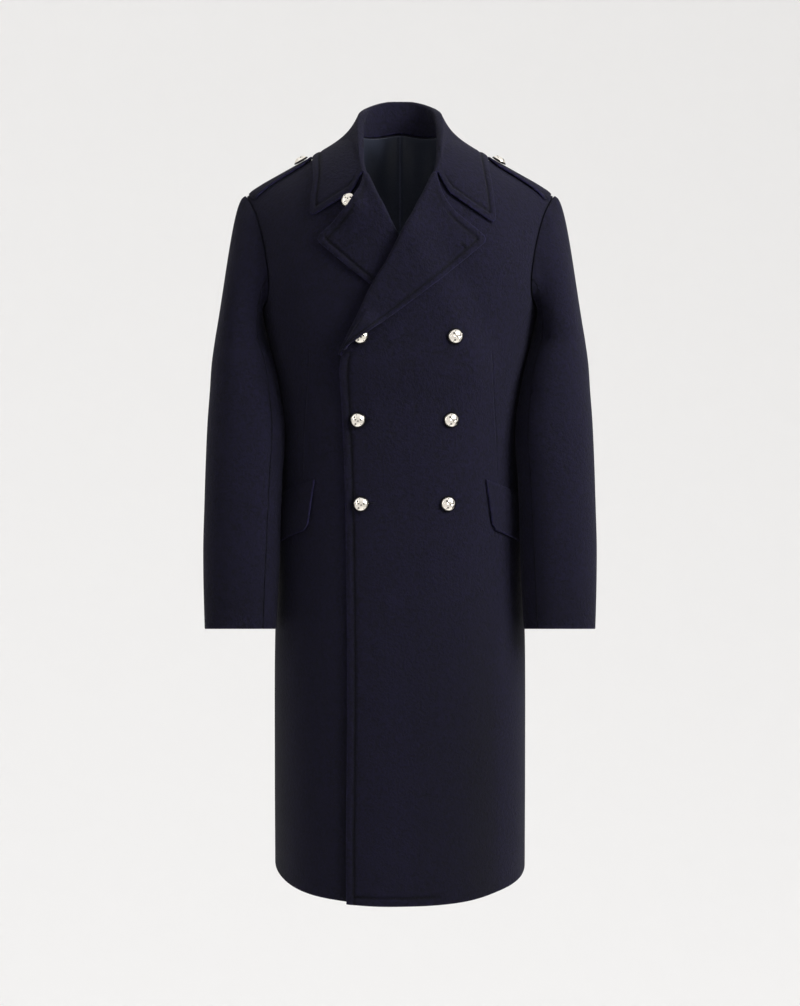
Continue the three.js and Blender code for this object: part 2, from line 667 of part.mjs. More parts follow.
function sleevePoint(row, degrees) {
  if (row >= CAP_STEPS.length) {
    return clearOfBody(armRing(ARM[row - CAP_STEPS.length].z, degrees));
  }
  const t = CAP_STEPS[row];
  const swing = Math.cos(THREE.MathUtils.degToRad(degrees));
  const start = armholePoint(degrees).add(new THREE.Vector3(SLEEVE_SEAM, 0, 0));
  const end = clearOfBody(armRing(ARM[0].z, degrees));
  const pull = CAP_PULL.mean + CAP_PULL.swing * swing;
  const rise = (swing > 0 ? CAP_RISE.head : CAP_RISE.under) * swing;
  const out = start.clone().add(new THREE.Vector3(pull, 0, rise * pull));
  const hang = CAP_HANG * (start.z - end.z);
  const above = end.clone().add(new THREE.Vector3(-CAP_LEAN * hang * swing, 0, hang));
  const point = new THREE.CubicBezierCurve3(start, out, above, end).getPoint(t);
  return point.z < CLEAR_FROM.top ? clearOfBody(point) : point;
}

function addSleeves() {
  const rows = CAP_STEPS.length + ARM.length - 1;
  const gap = 0.35;   // degrees on each side of a seam
  const pieces = [
    { name: 'top_sleeve', from: HIND_SEAM - 360 + gap, to: FRONT_SEAM - gap, steps: TOP_SLEEVE_STEPS },
    { name: 'under_sleeve', from: FRONT_SEAM + gap, to: HIND_SEAM - gap, steps: UNDER_SLEEVE_STEPS },
  ];
  for (const { name, from, to, steps } of pieces) {
    const wrap = (degrees) => (degrees + 360) % 360;
    const at = (r, share) => sleevePoint(r, wrap(mix(from, to, share)));
    const outer = grid(rows, steps, (r, c) => at(r, c / steps));
    const around = grid(rows, steps + 2, (r, c) => at(r, (c - 1) / steps));
    const inner = offsetGrid(around, -CLOTH).map((line) => line.slice(1, -1));
    piece(`left_${name}`, wall(outer, inner), WOOL);
    piece(`right_${name}`, wall(mirrored(outer), mirrored(inner)), WOOL);
  }
}

// Pocket flaps

function flapGrid(height, standsOff) {
  const { along, down } = FLAP_STEPS;
  return grid(down, along, (r, c) => {
    const [a, d] = [c / along, r / down];
    const angle = THREE.MathUtils.degToRad(mix(FLAP.from, FLAP.to, a) + (d * FLAP.tuck * (1 - a)) / 2);
    const corner = FLAP.corner * (1 - smooth(0, FLAP.cornerShare, a)) * d * d;
    const z = FLAP.top - FLAP.slope * a - d * (FLAP.depth - corner);
    const air = mix(FLAP.seat, AIR, smooth(0, FLAP.seatShare, d));
    return cloth(angle, z, height + air + standsOff(halfWidth(z) * Math.sin(angle), z));
  });
}

function addFlaps() {
  const [top, under] = [TRIM, 0];
  piece('left_pocket_flap', wall(flapGrid(top, lap), flapGrid(under, lap)), WOOL);
  piece('right_pocket_flap', wall(mirrored(flapGrid(top, FLAT)), mirrored(flapGrid(under, FLAT))), WOOL);
}

// Shoulder straps

function strapGrid(height) {
  const { along, across } = STRAP_STEPS;
  return grid(along, across, (r, c) => {
    const a = r / along;
    const side = (2 * c) / across - 1;
    const ends = STRAP.point * (1 - a) - STRAP.hollow * a;
    const x = mix(STRAP.inner, STRAP.outer, a) + ends * side * side;
    const air = mix(STRAP.air, STRAP.seat, smooth(STRAP.seatFrom, 1, a));
    return overShoulder(x, side * mix(STRAP.innerHalf, STRAP.outerHalf, a), air + height);
  });
}

function addStraps() {
  const [outer, inner] = [strapGrid(TRIM), strapGrid(0)];
  piece('left_epaulette', wall(outer, inner), WOOL);
  piece('right_epaulette', wall(mirrored(outer), mirrored(inner)), WOOL);
}

// Buttons

// Domed metal button: a turned profile, closed at the back, stood on the cloth
function addButton(name, place, normal) {
  const profile = [new THREE.Vector2(0, 0),
    ...BUTTON_PROFILE.map(({ radius, height }) => new THREE.Vector2(radius * BUTTON.radius, height)),
    new THREE.Vector2(0, BUTTON_PROFILE[BUTTON_PROFILE.length - 1].height + BUTTON.crown)];
  const geometry = new THREE.LatheGeometry(profile, BUTTON.sides);
  const turn = new THREE.Quaternion().setFromUnitVectors(new THREE.Vector3(0, 1, 0), normal);
  geometry.applyQuaternion(turn);
  geometry.translate(...place.clone().addScaledVector(normal, BUTTON.lift).toArray());
  piece(name, geometry, SILVER);
}

function addFrontButton(name, x, z, standsOff) {
  const angle = frontAngle(x, z);
  addButton(name, cloth(angle, z, standsOff), formNormal(angle, z));
}

function addButtons() {
  for (const { row, x, z } of FRONT_BUTTONS) {
    const across = BUTTON_ACROSS[`x${row}`];
    addFrontButton(`button_${row}_right`, x, z, lap(x, z));
    addFrontButton(`button_${row}_left`, across, z, lap(across, z));
  }
  addFrontButton('button_neck', NECK_BUTTON.x, NECK_BUTTON.z, 0);
  for (const [name, side] of [['left', 1], ['right', -1]]) {
    const { x, y } = STRAP_BUTTON;
    const mirror = new THREE.Vector3(side, 1, 1);
    const place = overShoulder(x, y, STRAP.air + TRIM).multiply(mirror);
    addButton(`button_epaulette_${name}`, place, shoulderNormal(x, y).multiply(mirror));
  }
}

addFronts();
addBacks();
addBackLining();
addLapels();
addCollar();
addSleeves();
addFlaps();
addStraps();
addButtons();

export default coat;
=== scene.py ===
# A long double-breasted overcoat of heavy navy wool, filled out as worn with no wearer.
# Tables and shapes are in millimetres, as a coat is drafted. Meshes, lights and camera are in metres.
# +Z is up, the front faces -Y, and the wearer's left side is at +X.
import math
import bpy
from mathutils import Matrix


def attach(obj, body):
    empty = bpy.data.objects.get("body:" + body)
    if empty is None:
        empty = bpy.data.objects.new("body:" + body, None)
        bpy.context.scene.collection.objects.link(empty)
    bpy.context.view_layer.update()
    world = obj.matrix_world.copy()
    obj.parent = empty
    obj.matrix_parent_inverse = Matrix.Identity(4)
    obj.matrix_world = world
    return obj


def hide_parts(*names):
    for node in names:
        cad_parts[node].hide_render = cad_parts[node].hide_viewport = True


bl_info = {
    "name": "Double-breasted overcoat",
    "version": (1, 0, 0),
    "blender": (4, 5, 0),
    "location": "View3D > Sidebar > Overcoat",
    "description": "Builds the cloth, lining, buttons and sewing of a long double-breasted overcoat",
    "category": "Object",
}

from types import SimpleNamespace

import bpy
import numpy as np
from mathutils import Vector

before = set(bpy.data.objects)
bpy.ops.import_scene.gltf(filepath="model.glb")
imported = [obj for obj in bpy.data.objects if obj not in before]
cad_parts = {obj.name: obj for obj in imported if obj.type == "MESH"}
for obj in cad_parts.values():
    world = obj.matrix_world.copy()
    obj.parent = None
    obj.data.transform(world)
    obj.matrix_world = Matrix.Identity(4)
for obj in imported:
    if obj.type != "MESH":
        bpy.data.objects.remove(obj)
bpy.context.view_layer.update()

MM = 0.001
PI = math.pi
NOTHING = 1e-9


# Tables and curves

def named(columns, rows):
    """A table as its named columns."""
    return dict(zip(columns.split(), np.array(rows, float).T))


def follow(table, by, place, column):
    """Smooth value of one column of a table at places along another column."""
    xs, ys = table[by], table[column]
    count = len(xs)
    way = 1 if xs[-1] > xs[0] else -1
    place = np.asarray(place, float)
    i = np.clip(np.searchsorted(way * xs, way * place) - 1, 0, count - 2)
    before = np.maximum(np.arange(count) - 1, 0)
    after = np.minimum(np.arange(count) + 1, count - 1)
    slope = (ys[after] - ys[before]) / (xs[after] - xs[before])
    step = xs[i + 1] - xs[i]
    t = np.clip((place - xs[i]) / step, 0, 1)
    ease = t * t * (3 - 2 * t)
    bend = (t - 1) ** 2 * t * step * slope[i] + (t - 1) * t * t * step * slope[i + 1]
    return ys[i] * (1 - ease) + ys[i + 1] * ease + bend


def smooth(start, end, value):
    t = np.clip((value - start) / (end - start), 0, 1)
    return t * t * (3 - 2 * t)


def mix(a, b, t):
    return a + (b - a) * t


def bell(distance, width):
    return np.exp(-((distance / width) ** 2))


def rounded(value, power):
    return np.sign(value) * np.abs(value) ** power


def unit(vectors):
    return vectors / np.maximum(np.linalg.norm(vectors, axis=-1, keepdims=True), NOTHING * MM)


def stack(x, y, z):
    return np.stack(np.broadcast_arrays(x, y, z), axis=-1).astype(float)


# Draft of the coat: cloth, gaps, and level sections of the form under it

CLOTH = 2.6
DOUBLED = 3.4
TRIM = 3.0
LINING = 1.0
SEAM = 0.3
AIR = 1.2

FORM = named("z width front back square side", [
    (60, 242, 146, 130, 2.4, 0),
    (0, 241, 146, 132, 2.4, 0),
    (-60, 240, 146, 134, 2.4, 0),
    (-90, 238.5, 146, 135, 2.4, 0),
    (-150, 226, 146, 137, 2.4, 0),
    (-224, 216, 148, 137, 2.4, 0),
    (-262, 209, 149, 135, 2.4, 0),
    (-340, 194, 150, 127, 2.4, 0),
    (-430, 183, 150, 121, 2.4, 0),
    (-540, 186, 152, 126, 2.38, 0),
    (-640, 189.5, 155, 135, 2.35, 0),
    (-771, 195, 159, 145, 2.35, 0),
    (-964, 198.5, 186, 142, 2.38, 20),
    (-1145, 200.5, 218, 135, 2.36, 36),
])
FACE_ROUNDER = 0.2
RIDGE_TOP = 30
RIDGE_FALL = 0.55
RIDGE_SOFT = 20
RIDGE_DEPTH = 170
RIDGE_ROUND = 1.6

LOWER = named("z edgeX", [
    (-1134, 79), (-1068, 79.4), (-960, 78.5), (-850, 77.5), (-745, 77.3), (-650, 78), (-565, 79),
    (-490, 80.5), (-428, 82.7), (-394, 84.3), (-362, 85.3), (-326, 83), (-293, 69),
])
UPPER = named("edgeX edge centre neck sideX side", [
    (54, 272.7, 270, 247, 209, 184.4),
    (41.5, 252, 247, 228, 204, 183.7),
    (28.5, 234.6, 224, 206, 199, 178),
    (15, 219, 201, 184, 195, 168),
    (2.5, 198, 178, 161, 193.6, 153),
    (-9.5, 173, 155, 139, 194.6, 135),
    (-20.5, 151, 134, 118, 197.3, 115),
    (-30, 129, 114, 98, 200.5, 95),
    (-39.5, 107, 96, 79, 204.6, 76),
    (-46.5, 88, 80, 62, 209, 58),
    (-53, 71, 66, 47, 213.5, 43),
    (-57.5, 55, 54, 34, 218, 30),
    (-60.2, 40, 44, 23, 222.5, 19.5),
    (-61.6, 25.4, 35.5, 14, 226, 11.5),
    (-62.2, 12.4, 28.5, 7, 229, 5.5),
    (-62.5, 4.7, 23.5, 2.5, 231, 1.6),
    (-62.6, 0, 20, 0, 232, 0),
])
LOW = len(LOWER["z"])
ROWS = LOW + len(UPPER["side"])
RIDGE_ROWS = 4
NECK_SHARE = 0.2
BACK_WIDER = 6
BEHIND = PI / 2 + 1e-6

LAP_PAST = 12
LAP_FADE = 60
LAP_LONGER = 3
ROLL_LOW = -332
ROLL_LOW_FADE = 66

LAPEL = named("roll edgeX edgeZ radius", [
    (-322, -77, -313, 3.6), (-306, -60, -300, 3.7), (-288, -38, -284, 3.9), (-266, -10, -264, 4.2),
    (-242, 18, -243, 4.6), (-217, 44, -223, 5.0), (-192, 68, -204.5, 5.4), (-165, 90, -187, 5.8),
    (-138, 108, -172, 6.0), (-110, 120, -162, 6.0), (-86, 124, -157, 6.0), (-65, 124.8, -155, 6.0),
])
LAPEL_WIDE = 78
LAPEL_AIR = 2.4
LAPEL_FLAT = 0.8
ROLL_STEP = 4
ROLL_SEAM = 0.9
PRESSED = 3.7
PRESSED_FROM = -112
PRESSED_FULL = -146

COLLAR = named("along crestX crestY crestZ edgeX edgeY", [
    (0, 0, 70, 61, 0, 80),
    (0.33, 21, 66, 60, 38, 79),
    (0.66, 39.5, 52, 54.5, 73, 68),
    (1.0, 52, 28, 46, 104, 43),
    (1.3, 57.2, 3, 37, 127.6, -2),
    (1.6, 58.5, -24, 21, 130, -46),
    (1.9, 57.5, -50, 2, 131.5, -68),
    (2.2, 56, -75, -18, 133, -87),
    (2.5, 53.5, -97, -40, 134, -101),
    (2.8, 48.2, -117, -61.5, 133, -106),
])
COLLAR_END = 2.8
END_DROP = named("share drop", [(0, 0), (0.1, 13), (0.25, 13), (0.6, 16), (1, 20)])
END_FROM = 1.8
COLLAR_NARROWER = 8
STATION = 0.3
COLLAR_FOLD = 5.8
COLLAR_AIR = 2
NECK_SEAM = 0.5
FOOT_RISE = 0.4
LEAF_SAG = 11
RIGHT_NARROWER = 5
NARROWER_FROM = (1.3, 2.2)
NOTCH_SHARE = 0.2
NOTCH_SAG = 12
NOTCH_FROM = 2.1

ARM = named("z x y width depth tilt", [
    (-300, 239.5, -12, 41, 79, 0),
    (-338, 234.5, -26, 50.5, 77, 0),
    (-380, 232, -36, 55.5, 75, 0),
    (-425, 230.5, -46, 60, 72, 0),
    (-485, 233, -56, 60, 69, 0),
    (-548, 236, -64, 59, 65, 0.02),
    (-609, 238.5, -70, 58.5, 60, 0.06),
    (-660, 240, -75, 57, 55, 0.11),
    (-705, 241, -79, 55.5, 50, 0.16),
    (-737.5, 241.5, -82, 54, 46.5, 0.19),
])
ARM_ROUND = 2.2
SLEEVE_SEAM = 0.9
CAP_PULL = (14, 6)
CAP_HANG = 0.43
CAP_RISE = (0.3, 0.15)
CAP_LEAN = 0.2
FRONT_SEAM = 131
HIND_SEAM = 258
SEAM_DEGREES = 0.35
ARM_CLEAR = 4
FLAP_CLEAR = 10
FLAP_NEAR = (-465.5, -655.5, -610.5)
CLEAR_FROM = (-238, -260)

FLAP = SimpleNamespace(start=42.5, end=80, top=-505.5, slope=36, depth=75, tuck=7, corner=7.2,
                       corner_share=0.084, seat=0.2, seat_share=0.4)
STRAP = SimpleNamespace(inner=131, outer=228, point=15, hollow=12, inner_half=23, outer_half=24,
                        air=2, seat=0.8, seat_from=0.7)

BUTTON_LIFT = 0.6
BUTTON_PROFILE = named("radius height", [
    (0.62, 0), (1.0, 0.9), (1.0, 1.8), (0.9, 2.9), (0.76, 4.9), (0.5, 6.8), (0.24, 7.6), (0, 7.8),
])
FRONT_BUTTONS = [("1", -55.5, 77.3, -294.6), ("2", -60.3, 73.4, -416), ("3", -56.2, 69.4, -538.5)]
NECK_BUTTON = (-74.2, -99.9)
STRAP_BUTTON = (146, -5)
BUTTON_ROOM = 9.6
BUTTON_ROOM_FROM = 15
BUTTON_REACH = 46

FIRST_DROP = 2
DROP_GROWTH = 1.5
DROP_STEPS = 12
HALVINGS = 20
LIFTS = 4
LEAST_INSET = 0.01

FOLD_SHARE = 0.14
BUTTON_ROOM_SHARE = 0.2
GORGE = named("share drop", [(0, 0), (0.08, 15), (0.2, 20.5), (0.36, 20), (0.55, 14), (0.75, 7), (1, 0)])
GORGE_ROWS = 4
STAND_SHARE = 0.22
COLLAR_FOLD_SHARE = 0.34
LEAF_BEGINS = 0.05
ALONG_STEP = 0.03
TIP_ROUND = 9

# Satin folds and pleat of the lining
SATIN = SimpleNamespace(share=0.89, high=1.3, waves=9, crowded=1.15, bend=2.3, bend_waves=3.1, lean=1.2,
                        flat_from=0.75, centre=0.03)
PLEAT = SimpleNamespace(at=5, high=1.6, half=2.2, fades_at=0.96)

# Distances between the lines of each piece's grid, and the closer lines along plain and stitched edges
GRID_STEPS = {"front": 5.2, "back": 5.6, "lining": 2.6, "lapel": 2.6, "collar": 3.0, "sleeve": 4.6,
              "flap": 2.4, "strap": 1.9}
PLAIN = np.array([0, 0.15, 0.5, 1.0, 1.7, 3.2])
STITCH = 12.0
STITCHED = np.array([0, 0.15, 0.5, 1.0, 1.7, 3.2, 6, 9, 10.4, 11.2, 12.0, 12.8, 13.6, 15, 18])
STITCH_LINE = int(np.argmin(np.abs(STITCHED - STITCH)))
ROUGH = 72
NARROWEST = 0.46

# Edges of the cloth: how round they are, the painted highlight along free rims and the painted shade along
# seams and in grooves, and the allowance under the sewn ones
RIM_LEAST = 0.01
PAINTED_EDGE_WIDTH = 1.5
RIM_PAINTED_HIGHLIGHT = 0.9
SEAM_PAINTED_SHADE = 0.45
PAINTED_SHADE_DEPTH = 1.9
PAINTED_SHADE_BASE = 0.3
SEAM_ROLL = 0.7
ALLOWANCE = SimpleNamespace(half=6.0, columns=5, thickness=0.8, gap=0.2)
EDGE_LINES = {"first": (1, 0, 1), "last": (1, -1, -1), "bottom": (0, 0, 1), "top": (0, -1, -1)}

# Relief worked into the cloth
FURROW = SimpleNamespace(half=2.4, pad=0.35, pad_half=3.2)
STITCH_CORNER = (10, 12)
DART = named("z x", [(-300, 132), (-345, 134.5), (-400, 139), (-450, 142.5), (-495, 144)])
DART_LINE = SimpleNamespace(top=-318, end=-505, fade=6, share=0.63, low=(-700, -560), high=(-200, -290),
                            deep=0.7, half=0.9, pad=0.25, pad_at=3.5, pad_half=2.2, least=0.02,
                            beside=(-3.6, -2.2, -1.2, -0.6, 0, 0.6, 1.2, 2.2, 3.6))
EDGE_STITCHED = (-312, -330)
EDGE_STITCH_TOP = -322
HEM_STITCHED = (150, 130)
HEM_CORNER = (11, 12)
HEM_STITCH_END = 140
SKIRT_SIDE = (0, 40)
FRONT_SKIRT = SimpleNamespace(heights=(-560, -1000), clear=(20, 70), turns={"left": 0.4, "right": 2.1})
BACK_SKIRT = SimpleNamespace(heights=(-520, -1000), clear=(0, 50), waves=((1, 10, 1.1), (0.6, 19, 0.4)))
BACK_SEAM = SimpleNamespace(deep=0.35, half=2.2)
ARMHOLE_LOW = -262
LAPEL_RELIEF = (10, 30)
LAPEL_STITCHED = (30, 26)
LEAF_RELIEF = 0.1
STAND_SEAM = SimpleNamespace(deep=0.6, at=21, half=1.2)
CAP_EASE = SimpleNamespace(high=0.35, pitch=7.5, at=9, half=9)
ELBOW_FOLDS = ((-430, 0.25, 1.0), (-468, -0.3, 1.3), (-512, 0.2, 0.9), (-560, -0.15, 0.8))
ELBOW = SimpleNamespace(half=15, high=0.8, shares=(0.55, 0.95))
CUFF_DIP = SimpleNamespace(deep=0.3, at=30, half=30)
FLAP_RIM = SimpleNamespace(high=0.5, at=3, half=3, seam_deep=1.1, seam_at=1, seam_half=1)
STRAP_RIM = SimpleNamespace(high=0.3, at=3, half=2.5, stitch_deep=0.5, stitch_at=6.0, stitch_half=1.2,
                            end_deep=1.3, end_half=5)

# Sewing thread, worked buttonholes and the pattern on the buttons
THREAD = SimpleNamespace(pitch=3.3, rings=5, sides=6, sink=0.25, thin=0.25, proud=0.8)
HOLE = SimpleNamespace(length=19, width=2.2, radius=0.45, steps=96, sides=8, wraps=34, ripple=0.18,
                       proud=0.15, long_round=0.5, end_round=0.7)
HOLE_RIGHT_OF_BUTTON = 17
HOLE_ABOVE_BUTTON = 1
LAPEL_HOLES = {"left": (88, -163, 0.72), "right": (68.4, -159.5, 0.78)}
PITS = [(3, 0.5, 0.12, 0.9), (2, 0.17, 0.1, 0.5), (5, 0.7, 0.06, 0.2)]
PIT_DEEP = 0.5
# Radii over which the button's rim is painted dark: painted shadow and painted reflection of the coat.
RIM_SHADE = (0.83, 0.93)
DOME = SimpleNamespace(rings=56, sides=96, least=0.004)
BEADS = SimpleNamespace(count=26, at=0.82, half=0.05, high=0.25, level=0.55)
LEAVES = SimpleNamespace(count=5, at=0.42, half=0.2, high=0.5)

# Stage, in metres
FLOOR_Z = -3.2
FLOOR_RADII = (0.01, 1, 2.5)
BOWL_FLAT = 3.5
BOWL_ROUND = 4.5
BOWL_WALL = 9.0
BOWL_STEPS = 24
BOWL_SIDES = 96
CHEST = (0, 0, -0.35)
KEY = SimpleNamespace(place=(2.1, -1.4, 0.8), size=(1.2, 1.6))
FILL = SimpleNamespace(place=(-3.4, -1.5, 0.4), size=(1.2, 2.2))
LAMP_COLOUR = (0.97, 0.98, 1)
SKY_COLOUR = (0.985, 0.985, 1, 1)
CAMERA_PLACE = (0, -2.6, -0.243)
CAMERA_TILT = math.atan(203 / 1690)
CAMERA_LENS = 60.477
SENSOR = 36


# The body form

def ridge(x):
    return RIDGE_TOP - RIDGE_FALL * (np.hypot(x, RIDGE_SOFT) - RIDGE_SOFT)


def form(z, column):
    return follow(FORM, "z", z, column)


def form_point(angle, z):
    """Point of the form at an angle from the middle of the front over the side to the back."""
    x = form(z, "width") * np.sin(angle)
    drop = np.clip(ridge(x) - z, 0, RIDGE_DEPTH) / RIDGE_DEPTH
    fullness = (1 - (1 - drop) ** 2) ** (1 / RIDGE_ROUND)
    square = form(z, "square")
    inset = np.maximum(1 - np.abs(np.sin(angle)) ** square, 0) ** (1 / (square - FACE_ROUNDER))
    is_front = np.cos(angle) >= 0
    depth = np.where(is_front, form(z, "front"), form(z, "back")) * inset * fullness
    return stack(x, form(z, "side") + np.where(is_front, -1, 1) * (SEAM / 2 + depth), z)


def form_normal(angle, z):
    turn, rise = 0.01, 1
    across = form_point(angle + turn, z) - form_point(angle - turn, z)
    up = form_point(angle, z + rise) - form_point(angle, z - rise)
    return unit(np.cross(across, up))


def cloth(angle, z, height):
    """Point at a height above the form, kept on its own side of the seams between panels."""
    angle, z, height = np.broadcast_arrays(angle, z, height)
    point = form_point(angle, z) + form_normal(angle, z) * height[..., None]
    side = np.where(np.cos(angle) >= 0, -1, 1)
    middle = form(z, "side")
    inside = side * (point[..., 1] - middle) < SEAM / 2
    point[..., 1] = np.where(inside, middle + side * SEAM / 2, point[..., 1])
    return point


def front_angle(x, z):
    return np.arcsin(np.clip(x / form(z, "width"), -1, 1))


def drop_of(x, y):
    """Drop below the ridge of the form's point at a distance in front of the ridge or behind it."""
    x, y = np.broadcast_arrays(np.asarray(x, float), np.asarray(y, float))

    def reaches(drop):
        z = ridge(x) - drop
        angle = front_angle(x, z)
        return np.abs(form_point(np.where(y < 0, angle, PI - angle), z)[..., 1]) > np.abs(y)

    shallow, deep = np.zeros_like(x), np.full_like(x, FIRST_DROP)
    for _ in range(DROP_STEPS):
        further = (deep < RIDGE_DEPTH) & ~reaches(deep)
        shallow, deep = np.where(further, deep, shallow), np.where(further, deep * DROP_GROWTH, deep)
    for _ in range(HALVINGS):
        drop = (shallow + deep) / 2
        done = reaches(drop)
        shallow, deep = np.where(done, shallow, drop), np.where(done, drop, deep)
    return shallow


def shoulder_normal(x, y):
    step = 2

    def at(dx, dy):
        return stack(x + dx, y + dy, ridge(x + dx) - drop_of(x + dx, y + dy))

    return unit(np.cross(at(step, 0) - at(-step, 0), at(0, step) - at(0, -step)))


def over_shoulder(x, y, height):
    """Point on the shoulder, at a height above the form."""
    z = ridge(x) - drop_of(x, y)
    angle = front_angle(x, z)
    point = form_point(np.where(y < 0, angle, PI - angle), z)
    return point + shoulder_normal(x, y) * np.asarray(height, float)[..., None]


def lifted(point, height):
    """Moves points out until they are at least at a height above the form of shoulders and chest."""
    def measure(p):
        x, y, z = p[..., 0], p[..., 1], p[..., 2]
        square = form(z, "square")
        across = np.maximum(1 - np.abs(x / form(z, "width")) ** square, LEAST_INSET)
        depth = np.where(y < 0, form(z, "front"), form(z, "back"))
        depth = depth * across ** (1 / (square - FACE_ROUNDER))
        drop = np.minimum((ridge(x) - z) / RIDGE_DEPTH, 1)
        return (np.abs(y) / depth) ** RIDGE_ROUND + (1 - drop) ** 2 - 1

    steps = np.eye(3)
    for _ in range(LIFTS):
        way = np.stack([(measure(point + s) - measure(point - s)) / 2 for s in steps], axis=-1)
        steepness = np.linalg.norm(way, axis=-1)
        short = np.maximum(height - measure(point) / steepness, 0)
        point = point + way / steepness[..., None] * short[..., None]
    return point


# Places on the panels, by fractional row from the hem up and share from edge or centre to side

def panel_tables():
    """Angles, heights and drops of each row of the front and of the back."""
    i = np.arange(ROWS)
    ridge_share = smooth(0, RIDGE_ROWS, i - LOW)
    edge_x = -np.concatenate([LOWER["edgeX"], UPPER["edgeX"]])
    edge_z = np.concatenate([LOWER["z"], ridge(UPPER["edgeX"]) - UPPER["edge"]])
    side_z = np.concatenate([LOWER["z"], ridge(UPPER["sideX"]) - UPPER["side"]])
    side_angle = np.full(ROWS, PI / 2)
    side_angle[LOW:] = front_angle(UPPER["sideX"], side_z[LOW:])
    side_x = form(side_z, "width") * np.sin(side_angle)
    front = {"row": i, "edgeX": edge_x, "edgeAngle": front_angle(edge_x, edge_z), "edgeZ": edge_z,
             "sideAngle": side_angle, "sideZ": side_z, "ridgeShare": ridge_share,
             "edgeDrop": ridge(edge_x) - edge_z, "sideDrop": ridge(side_x) - side_z}
    wider = BACK_WIDER * np.sin(PI * np.arange(ROWS - LOW) / (ROWS - LOW - 1))
    hind_z, hind_angle = LOWER["z"][i.clip(max=LOW - 1)].copy(), np.full(ROWS, BEHIND)
    hind_z[LOW:] = ridge(UPPER["sideX"] + wider) - UPPER["side"]
    hind_angle[LOW:] = np.maximum(PI - front_angle(UPPER["sideX"] + wider, hind_z[LOW:]), BEHIND)
    centre_z = np.concatenate([LOWER["z"], ridge(0) - UPPER["centre"]])
    neck_drop = np.concatenate([ridge(0) - LOWER["z"] - RIDGE_TOP, UPPER["neck"]])
    hind_x = form(hind_z, "width") * np.sin(hind_angle)
    back = {"row": i, "sideAngle": hind_angle, "sideZ": hind_z, "centreZ": centre_z,
            "ridgeShare": ridge_share, "centreDrop": ridge(0) - centre_z, "neckDrop": neck_drop,
            "sideDrop": ridge(hind_x) - hind_z}
    return front, back


FRONT, BACK = panel_tables()
EDGES = {"z": FRONT["edgeZ"], "x": FRONT["edgeX"]}


def roll_x(z):
    """Where the front edge is, and above the break the roll line."""
    return follow(EDGES, "z", z, "x")


def lap(x, z):
    """How far the left front stands off the form, over the right front and its lapel."""
    edge = -roll_x(z) + LAP_PAST
    across = 1 - smooth(edge, edge + LAP_FADE, x)
    roll = smooth(ROLL_LOW - ROLL_LOW_FADE, ROLL_LOW, z)
    return across * (CLOTH + AIR + (DOUBLED + LAPEL_AIR + AIR) * roll)


def flat(x, _z):
    return 0 * x


def front_place(row, share):
    edge_angle, edge_z, edge_drop, side_angle, side_z, side_drop, ridge_share = (
        follow(FRONT, "row", row, name)
        for name in ("edgeAngle", "edgeZ", "edgeDrop", "sideAngle", "sideZ", "sideDrop", "ridgeShare"))
    angle = mix(edge_angle, side_angle, share)
    level = mix(edge_z, side_z, share)
    x = form(level, "width") * np.sin(angle)
    return angle, mix(level, ridge(x) - mix(edge_drop, side_drop, share), ridge_share)


def back_place(row, share):
    side_angle, side_z, side_drop, centre_z, centre_drop, neck_drop, ridge_share = (
        follow(BACK, "row", row, name)
        for name in ("sideAngle", "sideZ", "sideDrop", "centreZ", "centreDrop", "neckDrop", "ridgeShare"))
    angle = mix(PI, side_angle, share)
    in_neck = np.minimum(share / NECK_SHARE, 1)
    past = np.maximum((share - NECK_SHARE) / (1 - NECK_SHARE), 0)
    drop = np.where(past > 0, mix(neck_drop, side_drop, past), mix(centre_drop, neck_drop, in_neck ** 2))
    level = mix(centre_z, side_z, share)
    sloped = ridge(form(level, "width") * np.sin(angle)) - drop
    return angle, mix(level, sloped, ridge_share)


def front_surface(stands_off, longer):
    def surface(u, v):
        row = u * (ROWS - 1)
        angle, z = front_place(row, v)
        height = stands_off(form(z, "width") * np.sin(angle), z)
        return cloth(angle, z - longer * (1 - v) * np.clip(1 - row, 0, 1), height)
    return surface


def back_surface(u, v):
    angle, z = back_place(u * (ROWS - 1), v)
    point = cloth(angle, z, 0)
    point[..., 0] = np.maximum(point[..., 0], SEAM / 2)
    return point


def lining_surface(u, v):
    """Inside of the upper back: satin that hangs in soft upright folds, with a pleat at its centre."""
    angle, z = back_place(mix(LOW + 1, ROWS - 1, u), v * SATIN.share)
    hangs = smooth(1, SATIN.flat_from, u) * smooth(0, SATIN.centre, v)
    x = form(z, "width") * np.sin(angle)
    turn = SATIN.waves * 2 * PI * v ** SATIN.crowded + SATIN.bend * np.sin(SATIN.bend_waves * v)
    wave = SATIN.high * hangs * (1 + np.sin(turn + SATIN.lean * u)) / 2
    pleat = PLEAT.high * bell(x - PLEAT.at, PLEAT.half) * smooth(1, PLEAT.fades_at, u)
    point = cloth(angle, z, -CLOTH - SEAM - wave - pleat)
    point[..., 0] = np.maximum(point[..., 0], SEAM / 2)
    return point


